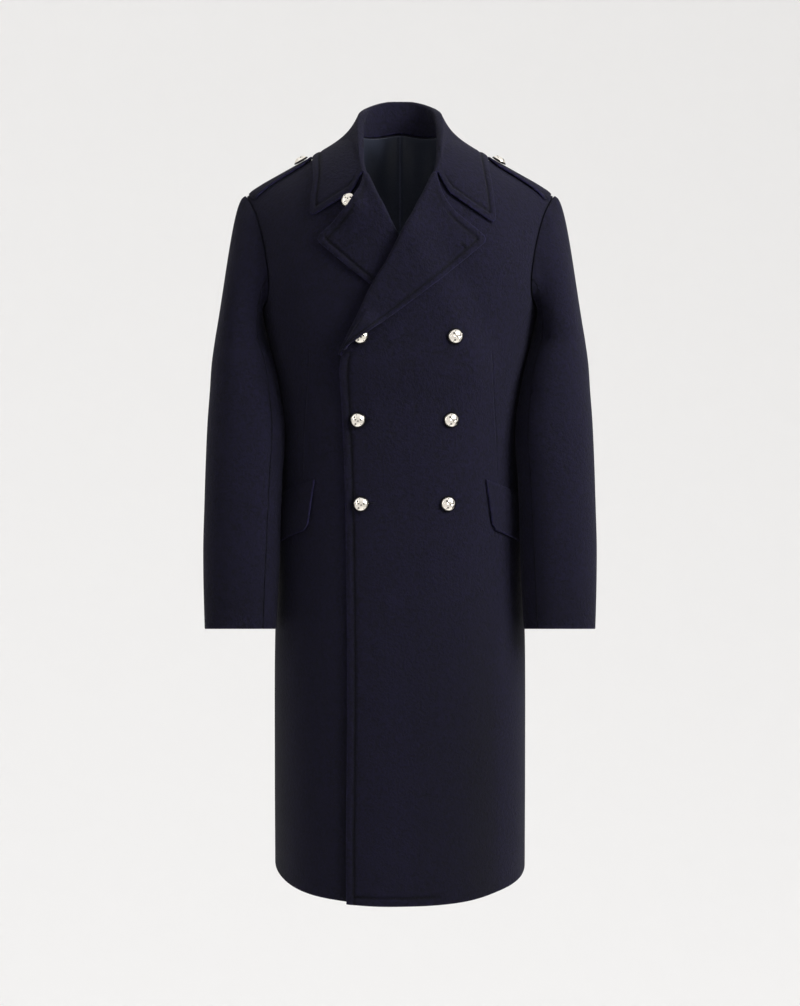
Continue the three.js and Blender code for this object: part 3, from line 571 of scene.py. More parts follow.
def lapel_surface(stands_off, button, is_covered):
    """The turned facing: round the rolled fold from the front's edge, then flat to its outer edge."""
    def surface(u, v):
        last = len(LAPEL["roll"]) - 1
        place = u * last
        rows = {**LAPEL, "row": np.arange(last + 1)}
        roll, edge_x, edge_z, radius = (follow(rows, "row", place, name) for name in
                                        ("roll", "edgeX", "edgeZ", "radius"))
        # Share of the covered lapel that lies flat under pressing, which changes its shape only.
        press_and_painted_light = smooth(PRESSED_FROM, PRESSED_FULL, roll) if is_covered else 0
        radius = mix(radius, PRESSED, press_and_painted_light)
        x = roll_x(roll)
        run = np.hypot(roll_x(roll + ROLL_STEP) - x, ROLL_STEP)
        out_x, out_z = -ROLL_STEP / run, (roll_x(roll + ROLL_STEP) - x) / run
        turn = -PI / 2 + PI * np.clip(v / FOLD_SHARE, 0, 1)
        reach = ROLL_SEAM + radius * np.cos(turn)
        share = np.clip((v - FOLD_SHARE) / (1 - FOLD_SHARE), 0, 1)
        in_fold = v <= FOLD_SHARE
        reach_x = mix(x, edge_x, 1 - RIGHT_NARROWER / LAPEL_WIDE) if is_covered else edge_x
        start_x, start_z = x + out_x * ROLL_SEAM, roll + out_z * ROLL_SEAM
        px = np.where(in_fold, x + out_x * reach, mix(start_x, reach_x, share))
        pz = np.where(in_fold, roll + out_z * reach, mix(start_z, edge_z, share))
        near_top = np.clip((place - last + GORGE_ROWS) / GORGE_ROWS, 0, 1)
        pz = pz - np.where(in_fold, 0, follow(GORGE, "share", share, "drop") * near_top)
        rest = LAPEL_AIR + DOUBLED
        top = 2 * radius - CLOTH
        over = np.hypot(px - button[0], pz - button[1])
        room = BUTTON_ROOM * (1 - smooth(BUTTON_ROOM_FROM, BUTTON_REACH, over))
        settled = np.maximum(mix(top, rest, smooth(0, LAPEL_FLAT, share)), rest)
        height = np.where(in_fold, radius - CLOTH + radius * np.sin(turn) + stands_off(x, roll),
                          settled + stands_off(px, pz) + room * smooth(0, BUTTON_ROOM_SHARE, share))
        return cloth(front_angle(px, pz), pz, height)
    return surface


def neck_edge(along, height):
    """Neck edge of back and front, from the centre back (0) over the neck point (1) to the roll."""
    angle, z = back_place(ROWS - 1, np.clip(along, 0, 1) * NECK_SHARE)
    place = ROWS - 1 - np.maximum(along - 1, 0) / STATION
    front_z = follow(FRONT, "row", place, "edgeZ")
    front = front_angle(follow(FRONT, "row", place, "edgeX"), front_z)
    in_back = along <= 1
    return cloth(np.where(in_back, angle, front), np.where(in_back, z, front_z), height)


def crest(along):
    return stack(*(follow(COLLAR, "along", along, name) for name in ("crestX", "crestY", "crestZ")))


def collar_surface(u, v):
    """Visible side of the collar: up the inside of the stand, over the fold and down the leaf."""
    around = (2 * u - 1) * COLLAR_END
    along, is_left = np.abs(around), around > 0
    before, after = np.maximum(along - ALONG_STEP, 0), along + ALONG_STEP
    top = crest(along)
    ahead = unit(crest(after) - crest(before))
    ahead = np.where((along < NOTHING)[..., None], np.array([1.0, 0, 0]), ahead)
    foot = neck_edge(along, FOOT_RISE)
    normal = unit(foot - neck_edge(along, 0))
    edge_ahead = unit(neck_edge(after, 0) - neck_edge(before, 0))
    foot = foot - unit(np.cross(edge_ahead, normal)) * NECK_SEAM
    away = unit(np.cross(top - foot, ahead))
    start = foot - away * DOUBLED
    rise = top - start
    up = unit(rise - away * (rise * away).sum(-1, keepdims=True))
    hub = top - up * COLLAR_FOLD
    inner = hub - away * COLLAR_FOLD
    stand = np.clip(v / STAND_SHARE, 0, 1)[..., None]
    turn = PI * np.clip((v - STAND_SHARE) / (COLLAR_FOLD_SHARE - STAND_SHARE), 0, 1)[..., None]
    over = hub - away * COLLAR_FOLD * np.cos(turn) + up * COLLAR_FOLD * np.sin(turn)
    share = np.clip((v - COLLAR_FOLD_SHARE) / (1 - COLLAR_FOLD_SHARE), 0, 1)
    narrower = np.where(is_left, 0, COLLAR_NARROWER * smooth(*NARROWER_FROM, along))
    edge_x = follow(COLLAR, "along", along, "edgeX") - narrower
    edge = over_shoulder(edge_x, follow(COLLAR, "along", along, "edgeY"), COLLAR_AIR + DOUBLED + 0 * along)
    begin = hub + away * COLLAR_FOLD
    sag = LEAF_SAG * np.sin(PI * share)
    leaf = mix(begin, edge, share[..., None]) - away * sag[..., None]
    dip = np.where(share < NOTCH_SHARE, share / NOTCH_SHARE, (1 - share) / (1 - NOTCH_SHARE))
    leaf[..., 2] -= NOTCH_SAG * dip * smooth(NOTCH_FROM, COLLAR_END, along)
    leaf[..., 2] -= follow(END_DROP, "share", share, "drop") * smooth(END_FROM, COLLAR_END, along)
    stands_off = np.where(is_left, lap(leaf[..., 0], leaf[..., 2]), 0)
    leaf = lifted(leaf, COLLAR_AIR + DOUBLED + stands_off)
    leaf = mix(begin, leaf, smooth(0, LEAF_BEGINS, share)[..., None])
    point = np.where(v[..., None] <= STAND_SHARE, mix(start, inner, stand), over)
    point = np.where(v[..., None] > COLLAR_FOLD_SHARE, leaf, point)
    point[..., 0] *= np.where(is_left, 1, -1)
    return point


def armhole_table(wider):
    """Half of the armhole's loop, by place from the shoulder down to the side seam."""
    last = ROWS - LOW - 1
    x = UPPER["sideX"] + wider * np.sin(PI * np.arange(last + 1) / last)
    return {"place": last - np.arange(last + 1.0), "x": x, "z": ridge(x) - UPPER["side"]}


ARMHOLE = {"front": armhole_table(0), "hind": armhole_table(BACK_WIDER)}


def armhole_point(degrees):
    """The armhole's loop: outside (0) at the shoulder, front (90), under the arm (180), back (270)."""
    is_front = degrees <= 180
    place = (ROWS - LOW - 1) * np.where(is_front, degrees, 360 - degrees) / 180
    x, z = (np.where(is_front, follow(ARMHOLE["front"], "place", place, name),
                     follow(ARMHOLE["hind"], "place", place, name)) for name in "xz")
    angle = front_angle(x, z)
    return cloth(np.where(is_front, angle, PI - angle), z, 0)


def clear_of_body(point):
    """Moves sleeve points out of the body's side, to a clear distance."""
    x, y, z = point[..., 0], point[..., 1], point[..., 2]
    above, below, end = FLAP_NEAR
    flap = smooth(above, FLAP.top, z) * smooth(below, end, z)
    clear = mix(ARM_CLEAR, FLAP_CLEAR, flap) * smooth(*CLEAR_FROM, z)
    depth = np.where(y < 0, form(z, "front"), form(z, "back")) + clear
    square = form(z, "square")
    inset = np.maximum(1 - np.abs(y / depth) ** (square - FACE_ROUNDER), 0) ** (1 / square)
    return stack(np.maximum(x, (form(z, "width") + clear) * inset), y, z)


def arm_ring(z, degrees):
    x, y, width, depth, tilt = (follow(ARM, "z", z, name) for name in ("x", "y", "width", "depth", "tilt"))
    turn = np.radians(degrees)
    ahead = -depth * rounded(np.sin(turn), 2 / ARM_ROUND)
    return stack(x + width * rounded(np.cos(turn), 2 / ARM_ROUND), y + ahead, z - tilt * ahead)


def sleeve_point(place, degrees):
    """Sleeve at a place from the armhole (0) over the end of the cap (1) to the cuff (2)."""
    swing = np.cos(np.radians(degrees))
    start = armhole_point(degrees) + np.array([SLEEVE_SEAM, 0, 0])
    end = clear_of_body(arm_ring(ARM["z"][0] + 0 * degrees, degrees))
    pull = CAP_PULL[0] + CAP_PULL[1] * swing
    rise = np.where(swing > 0, *CAP_RISE) * swing
    out = start + stack(pull, 0, rise * pull)
    hang = CAP_HANG * (start[..., 2] - end[..., 2])
    above = end + stack(-CAP_LEAN * hang * swing, 0, hang)
    t = np.clip(place, 0, 1)[..., None]
    cap = start * (1 - t) ** 3 + 3 * out * t * (1 - t) ** 2 + 3 * above * t * t * (1 - t) + end * t ** 3
    cleared = clear_of_body(cap)
    cap = np.where(cap[..., 2:] < CLEAR_FROM[0], cleared, cap)
    arm = clear_of_body(arm_ring(mix(ARM["z"][0], ARM["z"][-1], np.clip(place - 1, 0, 1)), degrees))
    return np.where(place[..., None] < 1, cap, arm)


def sleeve_surface(start, end):
    def surface(u, v):
        return sleeve_point(2 * u, mix(start, end, v) % 360)
    return surface


def flap_surface(stands_off):
    def surface(u, v):
        angle = np.radians(mix(FLAP.start, FLAP.end, v) + u * FLAP.tuck * (1 - v) / 2)
        corner = FLAP.corner * (1 - smooth(0, FLAP.corner_share, v)) * u * u
        z = FLAP.top - FLAP.slope * v - u * (FLAP.depth - corner)
        air = mix(FLAP.seat, AIR, smooth(0, FLAP.seat_share, u))
        return cloth(angle, z, TRIM + air + stands_off(form(z, "width") * np.sin(angle), z))
    return surface


def strap_surface(u, v):
    side = 2 * v - 1
    x = mix(STRAP.inner, STRAP.outer, u) + (STRAP.point * (1 - u) - STRAP.hollow * u) * side ** 2
    air = mix(STRAP.air, STRAP.seat, smooth(STRAP.seat_from, 1, u))
    return over_shoulder(x, side * mix(STRAP.inner_half, STRAP.outer_half, u), air + TRIM)


# Cloth pieces as fine closed walls

def lengths(points, axis):
    """Distance along a grid's lines from their first point."""
    steps = np.linalg.norm(np.diff(points, axis=axis), axis=-1)
    first = np.zeros_like(np.take(steps, [0], axis=axis))
    return np.cumsum(np.concatenate([first, steps], axis=axis), axis=axis)


def spread(length, count, begin, end):
    """Distances from 0 to a length, close together near both ends."""
    room = min(1, NARROWEST * length / max(begin[-1], end[-1]))
    middle = np.linspace(begin[-1] * room, length - end[-1] * room, count + 2)[1:-1]
    return np.concatenate([begin * room, middle, length - end[::-1] * room])


def measured(u, v, points):
    """A grid of points with the distances of each from its four edges."""
    run, rise = lengths(points, 1), lengths(points, 0)
    return SimpleNamespace(u=u, v=v, points=points, first=run, last=run[:, -1:] - run, bottom=rise,
                           top=rise[-1:] - rise)


def round_corner(grid, across, up, radius):
    """Draws the corner between two edges of a grid in, to a round one."""
    a = np.clip(radius - getattr(grid, across), 0, None)
    b = np.clip(radius - getattr(grid, up), 0, None)
    keep = np.maximum(a, b) / np.maximum(np.hypot(a, b), NOTHING)
    keep = np.where((a > 0) & (b > 0), keep, 1)
    along = unit(np.gradient(grid.points, axis=1)) * (-1 if across == "last" else 1)
    rising = unit(np.gradient(grid.points, axis=0)) * (-1 if up == "top" else 1)
    grid.points = grid.points + along * (a * (1 - keep))[..., None] + rising * (b * (1 - keep))[..., None]
    return grid


def sample(surface, step, bottom=PLAIN, top=PLAIN, first=PLAIN, last=PLAIN, warp=None):
    """Even grid over a surface, closer near its worked edges."""
    shares = np.linspace(0, 1, ROUGH)
    rough = surface(*np.meshgrid(shares, shares, indexing="ij"))
    up, across = lengths(rough, 0), lengths(rough, 1)
    middle = up[:, ROUGH // 2]
    rows = spread(middle[-1], int(middle[-1] / step), bottom, top)
    u = np.interp(rows, middle, shares)
    count = int(across[:, -1].max() / step)
    v = np.empty((len(u), len(first) + count + len(last)))
    for r, place in enumerate(u * (ROUGH - 1)):
        low = min(int(place), ROUGH - 2)
        line = mix(across[low], across[low + 1], place - low)
        v[r] = np.interp(spread(line[-1], count, first, last), line, shares)
    u = np.broadcast_to(u[:, None], v.shape)
    if warp is not None:
        v = warp(u, v)
    return measured(u, v, surface(u, v))


def normals_of(points, outward):
    """Normals of a grid, turned so that the one in the middle points outward."""
    along, up = np.gradient(points, axis=1), np.gradient(points, axis=0)
    normals = unit(np.cross(along, up))
    rows, columns = normals.shape[:2]
    middle = normals[rows // 2, columns // 2]
    return normals if middle @ np.asarray(outward, float) > 0 else -normals


def groove(distance):
    """A stitched line: a furrow at the stitch's distance from an edge, and a padded edge beside it."""
    pad = FURROW.pad * bell(distance - STITCH / 2, FURROW.pad_half)
    return look().furrow / MM * (pad - bell(distance - STITCH, FURROW.half))


def wall_faces(rows, columns):
    """Quads of a closed wall of two grids, the first one outside."""
    index = np.arange(2 * rows * columns).reshape(2, rows, columns)
    outer, inner = index

    def quads(a, b, c, d):
        return np.stack([a.ravel(), b.ravel(), c.ravel(), d.ravel()], axis=1)

    return np.concatenate([
        quads(outer[:-1, :-1], outer[:-1, 1:], outer[1:, 1:], outer[1:, :-1]),
        quads(inner[:-1, :-1], inner[1:, :-1], inner[1:, 1:], inner[:-1, 1:]),
        quads(outer[:-1, 0], outer[1:, 0], inner[1:, 0], inner[:-1, 0]),
        quads(outer[:-1, -1], inner[:-1, -1], inner[1:, -1], outer[1:, -1]),
        quads(outer[0, :-1], inner[0, :-1], inner[0, 1:], outer[0, 1:]),
        quads(outer[-1, :-1], outer[-1, 1:], inner[-1, 1:], inner[-1, :-1]),
    ])


def outward_faces(points, faces):
    """Faces turned so that a closed mesh has its outside out."""
    a, b, c, d = (points[faces[:, k]] for k in range(4))
    volume = (a * np.cross(b, c)).sum() + (a * np.cross(c, d)).sum()
    return faces if volume > 0 else faces[:, ::-1]


def make_mesh(name, points, faces, material):
    """Object of quads, from points in millimetres."""
    mesh = bpy.data.meshes.new(name)
    mesh.vertices.add(len(points))
    mesh.vertices.foreach_set("co", (points * MM).astype(np.float32).ravel())
    mesh.loops.add(faces.size)
    mesh.loops.foreach_set("vertex_index", faces.astype(np.int32).ravel())
    mesh.polygons.add(len(faces))
    mesh.polygons.foreach_set("loop_start", np.arange(0, faces.size, 4, dtype=np.int32))
    mesh.polygons.foreach_set("use_smooth", np.ones(len(faces), dtype=bool))
    mesh.update(calc_edges=True)
    mesh.materials.append(material)
    obj = bpy.data.objects.new(name, mesh)
    bpy.context.scene.collection.objects.link(obj)
    return obj


def seam_allowance(grid, thickness, edge, keep):
    """Strip of cloth ironed open under a sewn edge, as the two sides of a closed wall."""
    axis, index, way = EDGE_LINES[edge]
    line = np.take(grid.points, index, axis)[keep]
    inside = np.take(grid.points, index + way * (len(PLAIN) - 1), axis)[keep]
    out = np.take(grid.normals, index, axis)[keep]
    beyond = unit(line - inside)
    across = np.linspace(-ALLOWANCE.half, ALLOWANCE.half, ALLOWANCE.columns)
    top = line - out * (thickness + ALLOWANCE.gap)
    outer = top[:, None] + beyond[:, None] * across[:, None]
    return outer, outer - out[:, None] * ALLOWANCE.thickness


def rim(distance, thickness):
    """Share of the thickness at a distance from a round edge."""
    short = 1 - np.clip(distance / (thickness / 2), 0, 1)
    return np.sqrt(np.maximum(1 - short ** 2, RIM_LEAST))


def make_cloth(name, grid, thickness, outward, relief, material, mirror, sewn=None):
    """Closed wall of cloth from its outer surface and the relief worked into it. Free edges are round,
    and sewn ones roll in to their seam, with the allowance under it. sewn maps edges to slices of them.
    Its colour gets painted light: painted shade in its grooves and along its seams, and a painted highlight
    on its free rims."""
    sewn = sewn or {}
    grid.normals = normals_of(grid.points, outward)
    free = np.full(grid.u.shape, np.inf)
    seam = np.full(grid.u.shape, np.inf)
    for edge in EDGE_LINES:
        distance = getattr(grid, edge)
        if edge in sewn:
            seam = np.minimum(seam, distance)
        else:
            free = np.minimum(free, distance)
    half, rolled = thickness / 2 * rim(free, thickness), SEAM_ROLL * (1 - rim(seam, thickness))
    grid.outer = grid.points - grid.normals * (thickness / 2 - half + rolled - relief)[..., None]
    inner = grid.points - grid.normals * (thickness / 2 + half)[..., None]
    # Painted light in the colour: painted shade where the relief sinks into grooves and along sewn edges,
    # and a painted highlight along free rims.
    press_and_painted_light = np.clip(-relief / PAINTED_SHADE_DEPTH, 0, 1) - RIM_PAINTED_HIGHLIGHT * bell(free, PAINTED_EDGE_WIDTH)
    press_and_painted_light = press_and_painted_light + SEAM_PAINTED_SHADE * bell(seam, PAINTED_EDGE_WIDTH)
    walls = [(grid.outer, inner)]
    walls += [seam_allowance(grid, thickness, edge, keep) for edge, keep in sewn.items() if keep]
    points, faces, count = [], [], 0
    for outer, under in walls:
        corners = np.concatenate([outer.reshape(-1, 3), under.reshape(-1, 3)])
        corners = corners * np.array([-1, 1, 1]) if mirror else corners
        faces.append(outward_faces(corners, wall_faces(*outer.shape[:2])) + count)
        points.append(corners)
        count += len(corners)
    obj = make_mesh(name, np.concatenate(points), np.concatenate(faces), material)
    # Both sides of the wall carry the painted shade and painted highlight; the seam allowances carry none.
    shade = np.zeros(count)
    shade[:2 * press_and_painted_light.size] = np.tile(press_and_painted_light.ravel(), 2)
    add_shade(obj, "press_and_painted_light", shade)
    return obj


def add_shade(obj, name, values):
    attribute = obj.data.attributes.new(name, "FLOAT", "POINT")
    attribute.data.foreach_set("value", np.asarray(values, np.float32).ravel())


def place_piece(obj, node=None):
    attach(obj, "root")
    if node:
        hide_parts(node)
    return obj


# Finishes

def new_material(name):
    material = bpy.data.materials.new(name)
    material.use_nodes = True
    nodes = material.node_tree.nodes
    return material, nodes, material.node_tree.links, nodes["Principled BSDF"]


def noise(nodes, links, coordinates, scale, detail, stretch=(1, 1, 1)):
    """Noise over the object, its features stretched along the axes, at a number of them to a metre."""
    mapping = nodes.new("ShaderNodeMapping")
    mapping.inputs["Scale"].default_value = stretch
    links.new(coordinates, mapping.inputs["Vector"])
    texture = nodes.new("ShaderNodeTexNoise")
    texture.inputs["Scale"].default_value = scale
    texture.inputs["Detail"].default_value = detail
    links.new(mapping.outputs["Vector"], texture.inputs["Vector"])
    return texture.outputs["Fac"]


def ramp(nodes, links, factor, low, high, dark, light):
    """Colour between two over part of a factor's range."""
    ramp_node = nodes.new("ShaderNodeValToRGB")
    first, second = ramp_node.color_ramp.elements
    first.position, second.position = low, high
    first.color, second.color = (*dark, 1), (*light, 1)
    links.new(factor, ramp_node.inputs["Fac"])
    return ramp_node.outputs["Color"]


def bump(nodes, links, heights):
    """Bumps laid over each other, each with a height field, strength and depth in metres."""
    normal = None
    for factor, strength, distance in heights:
        node = nodes.new("ShaderNodeBump")
        node.inputs["Strength"].default_value = strength
        node.inputs["Distance"].default_value = distance
        links.new(factor, node.inputs["Height"])
        if normal is not None:
            links.new(normal, node.inputs["Normal"])
        normal = node.outputs["Normal"]
    return normal


def mix_colours(nodes, links, factor, a, b):
    node = nodes.new("ShaderNodeMix")
    node.data_type = "RGBA"
    links.new(factor, node.inputs["Factor"])
    links.new(a, node.inputs["A"])
    links.new(b, node.inputs["B"])
    return node.outputs["Result"]


def scaled(colour, share):
    return tuple(channel * share for channel in colour)


def shaded(nodes, links, colour):
    """The cloth's colour with painted light: painted shade in its grooves and seams, and a painted
    highlight at its rims.
    """
    # The attribute holds painted shade (above 0) and a painted highlight (below 0).
    press_and_painted_light = nodes.new("ShaderNodeAttribute")
    press_and_painted_light.attribute_name = "press_and_painted_light"
    keep = nodes.new("ShaderNodeMath")
    keep.operation = "POWER"
    keep.inputs[0].default_value = PAINTED_SHADE_BASE
    links.new(press_and_painted_light.outputs["Fac"], keep.inputs[1])
    shade = nodes.new("ShaderNodeVectorMath")
    shade.operation = "SCALE"
    links.new(colour, shade.inputs[0])
    links.new(keep.outputs["Value"], shade.inputs["Scale"])
    return shade.outputs["Vector"]


def wool_material(look):
    """Melton: felted navy wool with a short nap, with a painted highlight at its rims and painted shade in
    its grooves and seams.
    """
    material, nodes, links, shader = new_material("navy_melton")
    place = nodes.new("ShaderNodeTexCoord").outputs["Object"]
    fibres = noise(nodes, links, place, 1300, 3, (1, 1, 0.45))
    nap = noise(nodes, links, place, 420, 5, (1, 1, 0.8))
    felt = noise(nodes, links, place, 190, 4)
    cloud = noise(nodes, links, place, 16, 3)
    fine = ramp(nodes, links, nap, 0.42, 0.58, scaled(look.wool, 0.4), scaled(look.wool, 1.75))
    broad = ramp(nodes, links, felt, 0.4, 0.6, scaled(look.wool, 0.5), scaled(look.wool, 1.6))
    woven = mix_colours(nodes, links, cloud, fine, broad)
    # Base colour with painted shade in grooves and seams and a painted highlight on rims.
    links.new(shaded(nodes, links, woven), shader.inputs["Base Color"])
    shader.inputs["Roughness"].default_value = 0.96
    shader.inputs["Specular IOR Level"].default_value = 0.15
    shader.inputs["Sheen Weight"].default_value = look.sheen
    shader.inputs["Sheen Roughness"].default_value = 0.45
    shader.inputs["Sheen Tint"].default_value = (*look.sheen_colour, 1)
    height = bump(nodes, links, [(felt, 0.7, 0.0016), (nap, 0.8, 0.0009), (fibres, 0.5, 0.0002)])
    links.new(height, shader.inputs["Normal"])
    return material


def satin_material(look):
    """Lining: smooth satin with a fine upright grain and a soft sheen."""
    material, nodes, links, shader = new_material("lining_satin")
    place = nodes.new("ShaderNodeTexCoord").outputs["Object"]
    grain = noise(nodes, links, place, 900, 3, (1, 1, 0.06))
    cloud = noise(nodes, links, place, 14, 2, (1, 1, 0.3))
    colour = ramp(nodes, links, grain, 0.3, 0.7, scaled(look.lining, 0.8), scaled(look.lining, 1.3))
    # The satin also gets painted shade along its sewn top edge and a painted highlight along its free
    # edges.
    links.new(shaded(nodes, links, colour), shader.inputs["Base Color"])
    rough = nodes.new("ShaderNodeMapRange")
    rough.inputs["To Min"].default_value = 0.42
    rough.inputs["To Max"].default_value = 0.58
    links.new(cloud, rough.inputs["Value"])
    links.new(rough.outputs["Result"], shader.inputs["Roughness"])
    shader.inputs["Specular IOR Level"].default_value = 0.45
    shader.inputs["Sheen Weight"].default_value = 0.06
    shader.inputs["Sheen Roughness"].default_value = 0.3
    links.new(bump(nodes, links, [(grain, 0.18, 0.0002)]), shader.inputs["Normal"])
    return material


def metal_material(look):
    """Buttons: polished silver-coloured metal, painted near black in the pits of its relief and round its
    rim, as painted shade and painted reflection of the dark coat.
    """
    material, nodes, links, shader = new_material("button_silver")
    place = nodes.new("ShaderNodeTexCoord").outputs["Object"]
    hollow = nodes.new("ShaderNodeAttribute")
    hollow.attribute_name = "hollow"
    wear = noise(nodes, links, place, 700, 4)
    # Painted shade and painted reflection: near black in the pits and round the rim.
    colour = ramp(nodes, links, hollow.outputs["Fac"], 0.25, 0.6, look.metal, scaled(look.metal, 0.015))
    links.new(colour, shader.inputs["Base Color"])
    shader.inputs["Metallic"].default_value = 1
    rough = nodes.new("ShaderNodeMapRange")
    rough.inputs["To Min"].default_value = 0.1
    rough.inputs["To Max"].default_value = 0.26
    links.new(wear, rough.inputs["Value"])
    links.new(rough.outputs["Result"], shader.inputs["Roughness"])
    links.new(bump(nodes, links, [(wear, 0.06, 0.0002)]), shader.inputs["Normal"])
    return material


def thread_material(look):
    """Sewing thread: navy polyester, a little smoother than the wool, with its twist."""
    material, nodes, links, shader = new_material("navy_thread")
    place = nodes.new("ShaderNodeTexCoord").outputs["Object"]
    twist = noise(nodes, links, place, 2600, 2)
    colour = ramp(nodes, links, twist, 0.3, 0.7, scaled(look.wool, 0.3), scaled(look.wool, 0.7))
    links.new(colour, shader.inputs["Base Color"])
    shader.inputs["Roughness"].default_value = 0.8
    shader.inputs["Specular IOR Level"].default_value = 0.15
    links.new(bump(nodes, links, [(twist, 0.3, 0.0002)]), shader.inputs["Normal"])
    return material


def floor_material(look):
    material, nodes, links, shader = new_material("pale_floor")
    place = nodes.new("ShaderNodeTexCoord").outputs["Object"]
    cloud = noise(nodes, links, place, 0.4, 2)
    colour = ramp(nodes, links, cloud, 0.2, 0.8, scaled(look.floor, 0.995), look.floor)
    links.new(colour, shader.inputs["Base Color"])
    shader.inputs["Roughness"].default_value = 1
    shader.inputs["Specular IOR Level"].default_value = 0
    return material


MAKERS = {"navy_wool": wool_material, "lining_satin": satin_material, "button_metal": metal_material,
          "thread": thread_material, "floor": floor_material}


def look():
    return bpy.context.scene.overcoat_look


def finish(name):
    """The material of a finish, made the first time that it is asked for."""
    key = f"overcoat_{name}"
    if key not in bpy.data.materials:
        material = MAKERS[name](look())
        material.name = key
    return bpy.data.materials[key]


# Sewing

def resampled(path, normals, places):
    """Points and normals at distances along a path."""
    run = lengths(path[:, None], 0)[:, 0]
    at = np.stack([np.interp(places, run, path[:, k]) for k in range(3)], axis=-1)
    out = np.stack([np.interp(places, run, normals[:, k]) for k in range(3)], axis=-1)
    return at, unit(out)


def tube_faces(tubes, rings, sides):
    """Quads of many tubes of rings, with their ends closed by small last rings."""
    index = np.arange(tubes * rings * sides).reshape(tubes, rings, sides)
    after = np.roll(index, -1, axis=2)
    a, b, c, d = index[:, :-1], after[:, :-1], after[:, 1:], index[:, 1:]
    faces = [np.stack([a.ravel(), b.ravel(), c.ravel(), d.ravel()], axis=1)]
    half = sides // 2
    for ring, turn in ((0, -1), (rings - 1, 1)):
        corners = index[:, ring][:, ::turn]
        for k in range(half - 1):
            ends = (k, k + 1, -2 - k, -1 - k)
            faces.append(np.stack([corners[:, end] for end in ends], axis=1))
    return np.concatenate(faces)


def make_stitches(name, lines, mirror):
    """Row of thread stitches along lines of points with normals."""
    thick, length = look().thread / MM, look().stitch / MM
    share = np.linspace(0, 1, THREAD.rings)
    raised = np.sin(PI * share)
    turn = np.arange(THREAD.sides) * 2 * PI / THREAD.sides
    pieces = []
    for path, normals in lines:
        total = lengths(path[:, None], 0)[-1, 0]
        starts = np.arange(THREAD.pitch / 2, total - length, THREAD.pitch)
        places = starts[:, None] + length * share
        at, out = resampled(path, normals, places.ravel())
        at, out = (values.reshape(len(starts), THREAD.rings, 3) for values in (at, out))
        along = unit(np.gradient(at, axis=1))
        side = unit(np.cross(along, out))
        radius = thick * mix(THREAD.thin, 1, np.sqrt(raised))[None, :, None, None]
        centre = at + out * (thick * THREAD.proud - THREAD.sink * (1 - raised))[None, :, None]
        ring = side[:, :, None] * np.cos(turn)[:, None] + out[:, :, None] * np.sin(turn)[:, None]
        pieces.append((centre[:, :, None] + ring * radius).reshape(-1, THREAD.rings, THREAD.sides, 3))
    tubes = np.concatenate(pieces)
    points = tubes.reshape(-1, 3)
    if mirror:
        points = points * np.array([-1, 1, 1])
    faces = outward_faces(points, tube_faces(len(tubes), THREAD.rings, THREAD.sides))
    return place_piece(make_mesh(name, points, faces, finish("thread")))


def line_of(grid, rows, columns):
    return grid.outer[rows, columns], grid.normals[rows, columns]


def join_lines(*lines):
    return tuple(np.concatenate([line[k] for line in lines]) for k in range(2))


def make_buttonhole(name, centre, way, out, mirror=False):
    """Worked buttonhole: a long loop of close stitches round its slit."""
    s = np.linspace(0, 2 * PI, HOLE.steps, endpoint=False)
    along = unit(np.asarray(way, float))
    side = unit(np.cross(out, along))
    x = rounded(np.cos(s), HOLE.long_round) * HOLE.length / 2
    y = rounded(np.sin(s), HOLE.end_round) * HOLE.width / 2
    path = centre + x[:, None] * along + y[:, None] * side
    ahead = unit(np.roll(path, -1, axis=0) - np.roll(path, 1, axis=0))
    across = unit(np.cross(ahead, out))
    turn = np.arange(HOLE.sides) * 2 * PI / HOLE.sides
    radius = HOLE.radius * (1 + HOLE.ripple * np.cos(HOLE.wraps * s))
    ring = across[:, None] * np.cos(turn)[:, None] + out * np.sin(turn)[:, None]
    points = (path[:, None] + out * HOLE.proud + ring * radius[:, None, None]).reshape(-1, 3)
    index = np.arange(len(points)).reshape(HOLE.steps, HOLE.sides)
    ahead_index, turned = np.roll(index, -1, axis=0), np.roll(index, -1, axis=1)
    both = np.roll(ahead_index, -1, axis=1)
    faces = np.stack([index.ravel(), turned.ravel(), both.ravel(), ahead_index.ravel()], axis=1)
    if mirror:
        points = points * np.array([-1, 1, 1])
    faces = outward_faces(points, faces)
    return place_piece(make_mesh(name, points, faces, finish("thread")))


# Pieces of the coat

def dart_share(u):
    """Share of a front's width at which its dart runs."""
    z = follow(FRONT, "row", u * (ROWS - 1), "edgeZ")
    x = follow(DART, "z", np.clip(z, DART["z"][-1], DART["z"][0]), "x")
    edge, side = (follow(FRONT, "row", u * (ROWS - 1), name) for name in ("edgeAngle", "sideAngle"))
    return (front_angle(x, z) - edge) / (side - edge)


def front_warp(u, v):
    """Moves a front's columns so that one follows the dart."""
    z = follow(FRONT, "row", u * (ROWS - 1), "edgeZ")
    shift = (dart_share(u) - DART_LINE.share) * smooth(*DART_LINE.low, z) * smooth(*DART_LINE.high, z)
    return v + shift * np.sin(PI * np.clip(v, 0, 1)) ** 2


def skirt_drape(grid, skirt, waves):
    """Soft upright folds of a skirt, none at its edges. Each wave has a size, a count and a start."""
    wave = sum(size * np.sin(grid.v * count + start) for size, count, start in waves)
    edges = smooth(*SKIRT_SIDE, grid.last) * smooth(*skirt.clear, grid.first)
    return look().drape / MM * smooth(*skirt.heights, grid.points[..., 2]) * wave * edges


